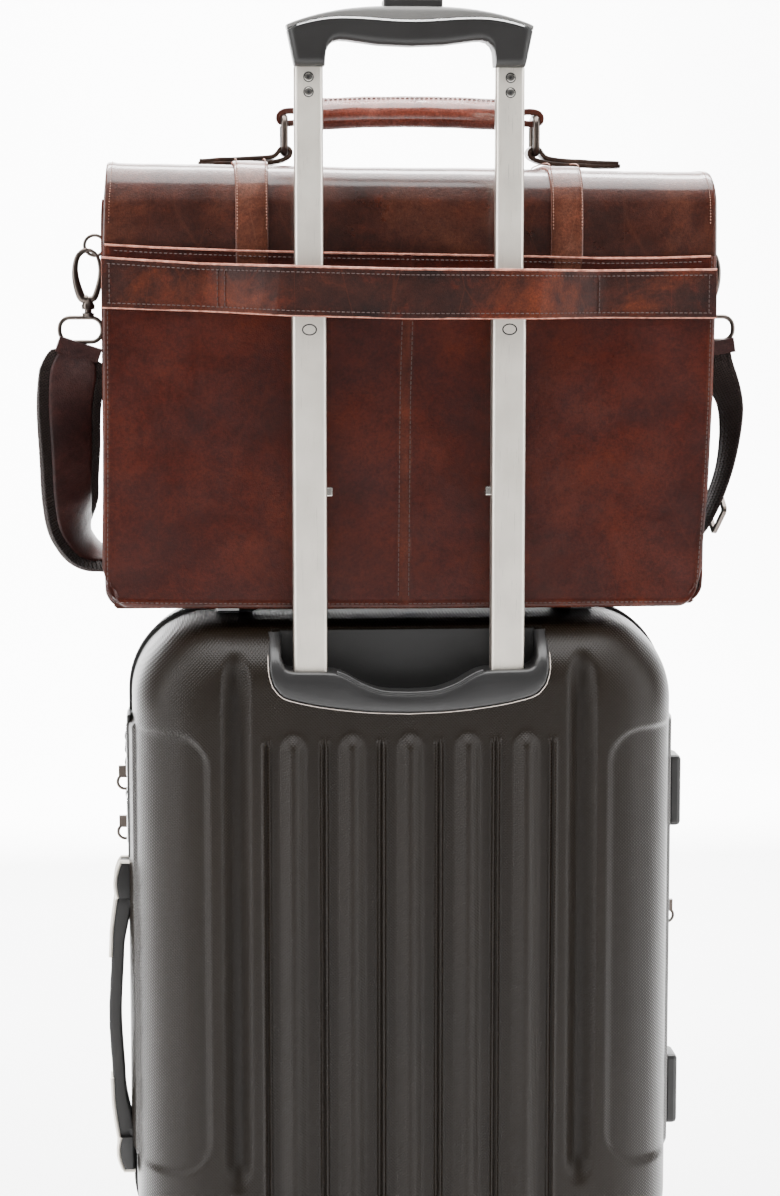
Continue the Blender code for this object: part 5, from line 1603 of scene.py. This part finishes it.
handle_roll()
for word, x, inward in (("left", LINK_LEFT, 1), ("right", LINK_RIGHT, -1)):
    fold = []
    for dx, dz in (
        (0.0165, 0.0036), (0.0100, 0.0042), (0.0040, 0.0046), (-0.0012, 0.0036), (-0.0036, 0.0008),
        (-0.0030, -0.0026), (0.0006, -0.0042), (0.0050, -0.0040), (0.0110, -0.0034), (0.0165, -0.0036),
    ):
        fold.append((x + inward * dx, LINK_HIGH + dz))
    fold_leathers = [handle_leather, seam_leather]
    strip_along(
        f"handle_fold_{word}", fold, 0.0044, HANDLE_EDGES, "carry_handle", fold_leathers
    )

    shape = bmesh.new()
    corner = 0.0050
    half_y, half_z = 0.0130 - 0.0012, (LINK_HIGH - LINK_LOW) / 2
    middle = (LINK_HIGH + LINK_LOW) / 2
    ring = [Vector((x, HANDLE_Y + a, middle + b)) for a, b in rounded_ring(half_y, half_z, corner, 6)]
    tube_into(shape, ring, 0.0025, 12, closed=True, side_hint=SIDEWAYS)
    add_shape(
        f"handle_link_{word}", shape, f"handle_ring_{word}", gunmetal, (f"handle_ring_{word}",)
    )

    tab_end = x - inward * 0.0610
    tab_rise = 0.0026 if word == "left" else 0.0004
    top_fold = [
        (tab_end + inward * 0.0010, 0.8549 + tab_rise * 0.6),
        (x - inward * 0.0400, 0.8560 + tab_rise * 0.5), (x - inward * 0.0220, 0.8572 + tab_rise * 0.4),
        (x - inward * 0.0080, 0.8590 + tab_rise * 0.2), (x - inward * 0.0020, 0.8652),
        (x + inward * 0.0026, 0.8652), (x + inward * 0.0044, 0.8622), (x + inward * 0.0020, 0.8586),
        (x - inward * 0.0080, 0.8556), (x - inward * 0.0300, 0.8540 + tab_rise * 0.2),
        (tab_end, 0.8530 + tab_rise * 0.6),
    ]
    strip_along(
        f"tab_fold_{word}", top_fold, 0.0031, HANDLE_EDGES, "flap", [tab_leather, tab_leather],
        (f"handle_tab_{word}",), 0.0005,
    )


# Side rings, snap hooks, shoulder strap and its pad
RING_Y = -0.019
HOOK_SHAPE = [  # half width and height of the hook's loop, from the swivel up
    (0.0000, 0.7590),
    (0.0042, 0.7600),
    (0.0068, 0.7660),
    (0.0086, 0.7740),
    (0.0088, 0.7820),
    (0.0070, 0.7890),
    (0.0034, 0.7928),
    (0.0000, 0.7938),
]
for word, side in (("left", -1), ("right", 1)):
    # A leather tab on the gusset holds the ring
    shape = bmesh.new()
    centre = Vector((side * 0.2165, RING_Y, 0.7970))
    ring = [centre + Vector((a, 0.0, b)) for a, b in turn_points(40, 0.0072)]
    tube_into(shape, ring, 0.0012, 12, closed=True, side_hint=FORWARD)
    add_shape(
        f"side_ring_wire_{word}", shape, "laptop_case", gunmetal, (f"side_ring_{word}",)
    )
    tab = [
        (side * 0.2088, 0.7780), (side * 0.2096, 0.7900), (side * 0.2104, 0.7990),
        (side * 0.2110, 0.8042), (side * 0.2093, 0.8062), (side * 0.2076, 0.8040),
    ]
    strip_along(
        f"ring_tab_{word}", tab, 0.0015, (RING_Y - 0.0075, RING_Y + 0.0075), "laptop_case",
        [belt_leather, raw_edge],
    )

    # The pear-shaped snap hook, its swivel and the strap's ring
    hook_x = side * 0.2216
    shape = bmesh.new()
    outline = [Vector((hook_x - side * half, RING_Y, z)) for half, z in HOOK_SHAPE]
    outline += [Vector((hook_x + side * half, RING_Y, z)) for half, z in reversed(HOOK_SHAPE[1:-1])]
    curve = smooth_path([*outline, outline[0]], 6)[:-1]
    sizes = []
    for point in curve:
        thick = 0.0032 - 0.0013 * step_between(point.z, 0.7600, 0.7900)
        sizes.append(thick if (point.x - hook_x) * side > 0 else thick * 0.72)
    tube_into(shape, curve, sizes, 12, closed=True, side_hint=FORWARD)
    thumb = Vector((hook_x - side * 0.0096, RING_Y, 0.7735))
    thumb_line = [thumb + Vector((-side * 0.0006, 0, -0.002)), thumb, thumb + Vector((0, 0, 0.002))]
    tube_into(shape, thumb_line, 0.0010, 8)
    add_shape(
        f"snap_hook_loop_{word}", shape, "shoulder_strap", gunmetal, (f"snap_hook_{word}",)
    )
    shape = bmesh.new()
    rows = []
    for z, reach in (
        (0.7462, 0.0018), (0.7468, 0.0040), (0.7492, 0.0044), (0.7500, 0.0026), (0.7516, 0.0026),
        (0.7522, 0.0046), (0.7548, 0.0048), (0.7572, 0.0036), (0.7602, 0.0026),
    ):
        rows.append([(hook_x + a, RING_Y + b, z) for a, b in turn_points(20, reach)])
    loft_into(shape, rows)
    add_shape(f"hook_swivel_{word}", shape, "shoulder_strap", gunmetal)
    shape = bmesh.new()
    middle_x = side * 0.2270
    outline = rounded_ring(0.0150, 0.0086, 0.0076, 6)
    ring = [Vector((middle_x + a, RING_Y, 0.7376 + b)) for a, b in outline]
    tube_into(shape, ring, 0.0016, 10, closed=True, side_hint=FORWARD)
    add_shape(f"strap_ring_{word}", shape, "shoulder_strap", gunmetal)

STRAP_ROUTE = [  # place, and the angle of the strap's width round the vertical
    (-0.2270, -0.0190, 0.7285, 0),
    (-0.2315, -0.0185, 0.7140, 4),
    (-0.2358, -0.0130, 0.6850, 24),
    (-0.2360, -0.0030, 0.6500, 34),
    (-0.2364, 0.0130, 0.6180, 45),
    (-0.2335, 0.0360, 0.5930, 60),
    (-0.2220, 0.0610, 0.5745, 75),
    (-0.1980, 0.0760, 0.5620, 86),
    (-0.1500, 0.0780, 0.5560, 90),
    (-0.0600, 0.0780, 0.5555, 90),
    (0.0600, 0.0780, 0.5550, 90),
    (0.1500, 0.0760, 0.5555, 90),
    (0.1970, 0.0680, 0.5610, 92),
    (0.2240, 0.0490, 0.5790, 96),
    (0.2360, 0.0250, 0.6050, 100),
    (0.2430, 0.0050, 0.6400, 105),
    (0.2425, -0.0110, 0.6800, 125),
    (0.2305, -0.0185, 0.7100, 172),
    (0.2270, -0.0190, 0.7285, 180),
]
STRAP_STEPS = 12


def strap_sections():
    """Along the strap: points, width directions and outward directions."""
    curve = smooth_path(STRAP_ROUTE, STRAP_STEPS)
    sections = []
    for index, point in enumerate(curve):
        before = curve[max(index - 1, 0)].to_3d()
        after = curve[min(index + 1, len(curve) - 1)].to_3d()
        along = (after - before).normalized()
        angle = radians(point[3])
        across = Vector((cos(angle), sin(angle), 0.0))
        across = (across - along * across.dot(along)).normalized()
        sections.append((point.to_3d(), across, across.cross(along)))
    return sections


strap_line = strap_sections()


def ribbon_piece(name, first, last, section, material, replaced=(), taper=1.0, taper_length=1):
    """A band along the strap's line; section gives (across, outward) points round it."""
    shape = bmesh.new()
    rows = []
    for index in range(first, last + 1):
        point, across, outward = strap_line[index]
        from_end = min(index - first, last - index)
        share = min(1.0, taper + (1.0 - taper) * sqrt(from_end / taper_length))
        rows.append([point + across * (a * share) + outward * b for a, b in section])
    loft_into(shape, rows)
    return add_shape(name, shape, "shoulder_strap", material, replaced, 50)


web_section = [
    (-0.0125, -0.0006), (-0.0119, -0.0012), (0.0119, -0.0012), (0.0125, -0.0006), (0.0125, 0.0006),
    (0.0119, 0.0012), (-0.0119, 0.0012), (-0.0125, 0.0006),
]
last_section = len(strap_line) - 1
ribbon_piece("strap_webbing", 0, last_section, web_section, webbing, ("shoulder_strap",))
web_ribs = bmesh.new()
for across_place in (-0.0098, -0.0049, 0.0, 0.0049, 0.0098):
    for face in (-1, 1):
        path = [p + a * across_place + o * (face * 0.00115) for p, a, o in strap_line]
        tube_into(web_ribs, path, 0.00045, 6)
add_shape("strap_ribs", web_ribs, "shoulder_strap", webbing)

PAD_FIRST, PAD_LAST = round(2 / 3 * STRAP_STEPS), round(25 / 3 * STRAP_STEPS)
pad_profile = [
    (0.0, 0.0098), (0.30, 0.0097), (0.55, 0.0092), (0.74, 0.0078), (0.80, 0.0050), (0.93, 0.0046),
    (1.0, 0.0036)
]
pad_section = [(0.0240 * share, height) for share, height in reversed(pad_profile)]
pad_section += [(-0.0240 * share, height) for share, height in pad_profile[1:]]
pad_section += [(-0.0238, 0.0020), (0.0238, 0.0020)]
piece = ribbon_piece(
    "shoulder_pad_leather", PAD_FIRST, PAD_LAST, pad_section, pad_leather,
    ("shoulder_pad",), 0.64, 8,
)
border_section = [(-0.0240, -0.0015), (0.0240, -0.0015), (0.0240, 0.0022), (-0.0240, 0.0022)]
ribbon_piece("pad_border", PAD_FIRST, PAD_LAST, border_section, webbing, (), 0.64, 8)
half_turn = [pi * turn / 12 for turn in range(13)]
face_section = [(0.0168 * cos(angle), -0.0015 - 0.0020 * sin(angle) ** 0.5) for angle in half_turn]
ribbon_piece("pad_backing", PAD_FIRST, PAD_LAST, face_section, pad_leather, (), 0.64, 8)
border_ribs = bmesh.new()
for side in (-1, 1):
    for face in (-1, 1):
        for index in range(PAD_FIRST + 8, PAD_LAST - 8):
            for part in range(4):
                point = strap_line[index][0].lerp(strap_line[index + 1][0], part / 4)
                across, outward = strap_line[index][1], strap_line[index][2]
                lift = outward * (face * 0.0018)
                rib = [point + across * (side * reach) + lift for reach in (0.0172, 0.0236)]
                tube_into(border_ribs, rib, 0.00050, 5)
add_shape("pad_border_ribs", border_ribs, "shoulder_strap", webbing)
pad_line = strap_line[PAD_FIRST + 8 : PAD_LAST - 7]
pad_rows = []
for side in (-1, 1):
    pad_rows.append([p + a * (side * 0.0208) + o * 0.0050 for p, a, o in pad_line])
shape = bmesh.new()
for path in pad_rows:
    for start, end in zip(path, path[1:]):
        middle = (start + end) / 2
        padded = strap_line[PAD_FIRST : PAD_LAST + 1]
        nearest = min(padded, key=lambda section: (section[0] - middle).length)
        stitches_into(shape, [start, end], nearest[2])
add_shape("pad_stitching", shape, "shoulder_strap", rust_thread)
for word, first, last in (("left", 0, 9), ("right", last_section - 7, last_section)):
    section = [(a * 1.26, b * 3.6) for a, b in web_section]
    ribbon_piece(f"strap_end_{word}", first, last, section, pad_leather)
keep("strap_buckle", gunmetal, 0.0006)


# Side grab handle, lock, zip pulls, feet, top handle and wheels
SIDE_Y = -0.030
BOW_OUTER = [
    (0.1500, -0.2060), (0.1600, -0.2076), (0.1760, -0.2098), (0.2000, -0.2108), (0.2410, -0.2128),
    (0.2820, -0.2108), (0.3060, -0.2098), (0.3220, -0.2076), (0.3320, -0.2060),
]


def side_bow():
    """The bowed rubber grip with its grooved outer face."""
    shape = bmesh.new()
    curve = smooth_path([(x, 0.0, z) for z, x in BOW_OUTER], 10)
    rows = []
    count = len(curve) - 1
    for index, point in enumerate(curve):
        away = abs(index / count - 0.5) * 2
        thick = 0.0092 + 0.0024 * step_between(away, 0.30, 0.62) - 0.0042 * step_between(away, 0.80, 1.0)
        wide = 0.0088 - 0.0006 * step_between(away, 0.80, 1.0)
        groove = 0.0006 if 0.30 > away and index % 4 < 2 else 0.0
        row = []
        for a, b in rounded_ring(wide, thick / 2, min(0.0019, thick * 0.45), 4):
            out = groove if b < 0 and abs(a) < wide * 0.8 else 0.0
            row.append((point.x + thick / 2 + b + out, SIDE_Y + a, point.z))
        rows.append(row)
    loft_into(shape, rows)
    add_shape("side_handle_bow", shape, "side_handle", rubber, ("side_handle_grip",)
    )


side_bow()

# Bright rails along both ends of the bow
shape = bmesh.new()
for low_z, high_z in ((0.2860, 0.3300), (0.1520, 0.1960)):
    for side in (-1, 1):
        rail = []
        for z in spread(low_z, high_z, 12):
            rail.append((between(BOW_OUTER, z) - 0.0004, SIDE_Y + side * 0.0084, z))
        tube_into(shape, rail, 0.0015, 8)
add_shape("side_handle_rails", shape, "side_handle", aluminium)


def wedge_size(share):
    """The cap's height and half width at a share of its length."""
    return 0.0072 + 0.0056 * sin(pi * min(share * 0.72 + 0.22, 1.0)) ** 0.8, 0.0122 - 0.0030 * share**2


def side_wedge(word, near, far):
    """The black end cap, a wedge on the shell, with its bright rims and the socket behind the bow."""
    shape = bmesh.new()
    rows = []
    steps = 16
    for step in range(steps + 1):
        share = step / steps
        z = near + (far - near) * share
        height, wide = wedge_size(share)
        row = []
        for a, b in rounded_ring(wide, height / 2, min(0.0028, height * 0.45), 5):
            row.append((-0.1944 - height / 2 + b, SIDE_Y + a, z))
        rows.append(row)
    loft_into(shape, rows)
    name = f"side_cap_{word}"
    node = f"side_handle_mount_{word}"
    add_shape(name, shape, "hard_case", black_plastic, (node,))
    shape = bmesh.new()
    for side in (-1, 1):
        rim = []
        for step in range(steps + 1):
            share = step / steps
            height, wide = wedge_size(share)
            rim.append((-0.1943 - height, SIDE_Y + side * (wide - 0.0008), near + (far - near) * share))
        rim.append((-0.1950, SIDE_Y + side * 0.0084, far))
        tube_into(shape, rim, 0.0015, 8)
    add_shape(f"side_cap_rim_{word}", shape, "hard_case", aluminium)
    shape = bmesh.new()
    low, high = sorted((near, near + (near - far) * 0.28))
    box_into(shape, (-0.1990, SIDE_Y - 0.0105, low), (-0.1944, SIDE_Y + 0.0105, high))
    bmesh.ops.bevel(shape, geom=shape.edges[:], offset=0.0012, segments=2, affect="EDGES")
    add_shape(f"side_socket_{word}", shape, "hard_case", black_plastic)


side_wedge("upper", 0.3300, 0.3560)
side_wedge("lower", 0.1520, 0.1260)

keep("lock_body", black_plastic, 0.0010, 2)
shape = bmesh.new()
for number in range(3):
    centre_z = 0.4470 - 0.0095 * number
    rows = []
    for step in range(9):
        angle = pi * step / 8
        x = -0.1972 - 0.0022 * sin(angle)
        z = centre_z + 0.0036 * cos(angle)
        rows.append([(x, SIDE_Y - 0.0030, z), (x, SIDE_Y + 0.0045, z)])
    grid_into(shape, rows)
mesh = finished(shape, "lock_wheels")
piece = add_piece("lock_wheels", mesh, "hard_case", grip_grey)
solid = piece.modifiers.new("rim", "SOLIDIFY")
solid.thickness = 0.0012
shape = bmesh.new()
for half_y, half_z, middle_z in ((0.0085, 0.0185, 0.4375), (0.0075, 0.0160, 0.3860)):
    outline = rounded_ring(half_y, half_z, 0.003, 4)
    frame_line = [Vector((-0.1977, SIDE_Y + 0.001 + a, middle_z + b)) for a, b in outline]
    tube_into(shape, frame_line, 0.0006, 8, closed=True, side_hint=SIDEWAYS)
add_shape("lock_trim", shape, "hard_case", chrome)


def zip_slider(name, side, y, z, pull_node):
    """A slider on the teeth, and the finish of its pull."""
    shape = bmesh.new()
    rows = []
    for step in range(9):
        share = step / 8
        wide = 0.0040 + 0.0016 * sin(pi * share)
        reach = 0.0010 + 0.0014 * sin(pi * share)
        row = []
        for a, b in rounded_ring(wide, reach, 0.0008, 3):
            row.append((side * (0.1950 + reach) + b, y + a, z - 0.001 + 0.0130 * share))
        rows.append(row)
    loft_into(shape, rows)
    add_shape(name, shape, "hard_case", chrome)
    keep(pull_node, chrome, 0.0004)
    shape = bmesh.new()
    low_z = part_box(pull_node)[0][2]
    loop = [(side * (0.2000 + a), y - 0.0020, low_z + 0.0050 + b) for a, b in turn_points(24, 0.0052)]
    tube_into(shape, loop, 0.0011, 8, closed=True, side_hint=FORWARD)
    near_x, far_x = sorted((side * 0.1962, side * 0.2045))
    box_into(shape, (near_x, y - 0.0040, low_z + 0.0085), (far_x, y - 0.0008, low_z + 0.0172))
    pull_body = "expander_pull" if pull_node == "expander_zip_pull" else pull_node
    add_shape(f"{name}_loop", shape, pull_body, gunmetal)


zip_slider("zip_slider_upper", -1, -0.0005, 0.4310, "zip_pull_upper")
zip_slider("zip_slider_lower", -1, -0.0005, 0.3940, "zip_pull_lower")
zip_slider("expander_slider", 1, -0.0095, 0.3260, "expander_zip_pull")

for word in ("upper", "lower"):
    keep(f"side_foot_{word}", foot_plastic, 0.0012, 3)
    low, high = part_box(f"side_foot_{word}")
    shape = bmesh.new()
    flange = 0.0022
    flange_low = (low[0], low[1] - flange, low[2] - flange)
    box_into(shape, flange_low, (low[0] + 0.0016, high[1] + flange, high[2] + flange))
    bmesh.ops.bevel(shape, geom=shape.edges[:], offset=0.0006, segments=2, affect="EDGES")
    add_shape(f"foot_flange_{word}", shape, "hard_case", black_plastic)

# The top handle: a padded strap with chromed end caps
keep("top_handle", black_plastic, 0.0010, 3)
for word, x, inward in (("left", -0.132, 1), ("right", 0.138, -1)):
    shape = bmesh.new()
    low_x, high_x = sorted((x - inward * 0.0012, x + inward * 0.0170))
    box_into(shape, (low_x, -0.0392, 0.5364), (high_x, -0.0128, 0.5412))
    bmesh.ops.bevel(shape, geom=shape.edges[:], offset=0.0016, segments=3, affect="EDGES")
    add_shape(f"top_handle_cap_{word}", shape, "hard_case", chrome)

# Casters: the CAD's forks and carriers, and wheels with a tyre, a hub and a ring of dark pegs painted as the
# shade in holes
WHEEL_RADIUS = 0.019
AXLE_BORE = 0.0032
for end in ("rear", "front"):
    keep(f"wheel_carrier_{end}", black_plastic, 0.0010, 2)
    for word in ("left", "right"):
        keep(f"caster_fork_{end}_{word}", black_plastic, 0.0008, 2)
        low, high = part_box(f"caster_wheel_{end}_{word}")
        centre = Vector(((low[0] + high[0]) / 2, (low[1] + high[1]) / 2, (low[2] + high[2]) / 2))
        half = (high[0] - low[0]) / 2

        def turned_into(shape, outline):
            """A ring turned round the axle from points of (along the axle, radius)."""
            rows = []
            for x, radius in outline:
                ring = turn_points(48, radius)
                rows.append([(centre.x + x, centre.y + a, centre.z + b) for a, b in ring])
            grid_into(shape, rows, round_rows=True, round_columns=True)

        tyre = bmesh.new()
        for side in (-1, 1):
            inner_x, outer_x = side * 0.0008, side * half
            mid_x = (inner_x + outer_x) / 2
            turned_into(
                tyre,
                [
                    (inner_x, 0.0125), (inner_x, 0.0178), (inner_x + side * 0.0010, 0.0187),
                    (mid_x, WHEEL_RADIUS), (outer_x - side * 0.0010, 0.0187), (outer_x, 0.0178),
                    (outer_x, 0.0125),
                ],
            )
        name = f"tyre_{end}_{word}"
        body = f"wheel_{end}_{word}"
        node = f"caster_wheel_{end}_{word}"
        add_shape(name, tyre, body, rubber, (node,))
        hub = bmesh.new()
        turned_into(
            hub,
            [
                (-half * 0.86, AXLE_BORE), (-half * 0.92, 0.0058), (-half * 0.70, 0.0066),
                (-half * 0.62, 0.0112), (-half * 0.88, 0.0120), (-half * 0.88, 0.0128),
                (half * 0.88, 0.0128), (half * 0.88, 0.0120), (half * 0.62, 0.0112),
                (half * 0.70, 0.0066), (half * 0.92, 0.0058), (half * 0.86, AXLE_BORE),
            ],
        )
        add_shape(f"hub_{end}_{word}", hub, body, wheel_core)
        # Dark pegs through the hub stand in for holes: painted shade
        hole_shade_pegs = bmesh.new()
        reach = Vector((half * 0.74, 0.0, 0.0))
        for a, b in turn_points(6, 0.0089):
            spot = Vector((0.0, a, b))
            tube_into(hole_shade_pegs, [centre + spot - reach, centre + spot + reach], 0.0014, 10)
        add_shape(f"hub_pegs_{end}_{word}", hole_shade_pegs, body, recess_shade_plastic)


# The size of what shows, beside the CAD's, then the end of the script
add_camera()
add_studio()
sizes = {
    "cad": [[float(value) for value in corner] for corner in cad_box],
    "shown": [[float(value) for value in corner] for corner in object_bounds()],
}
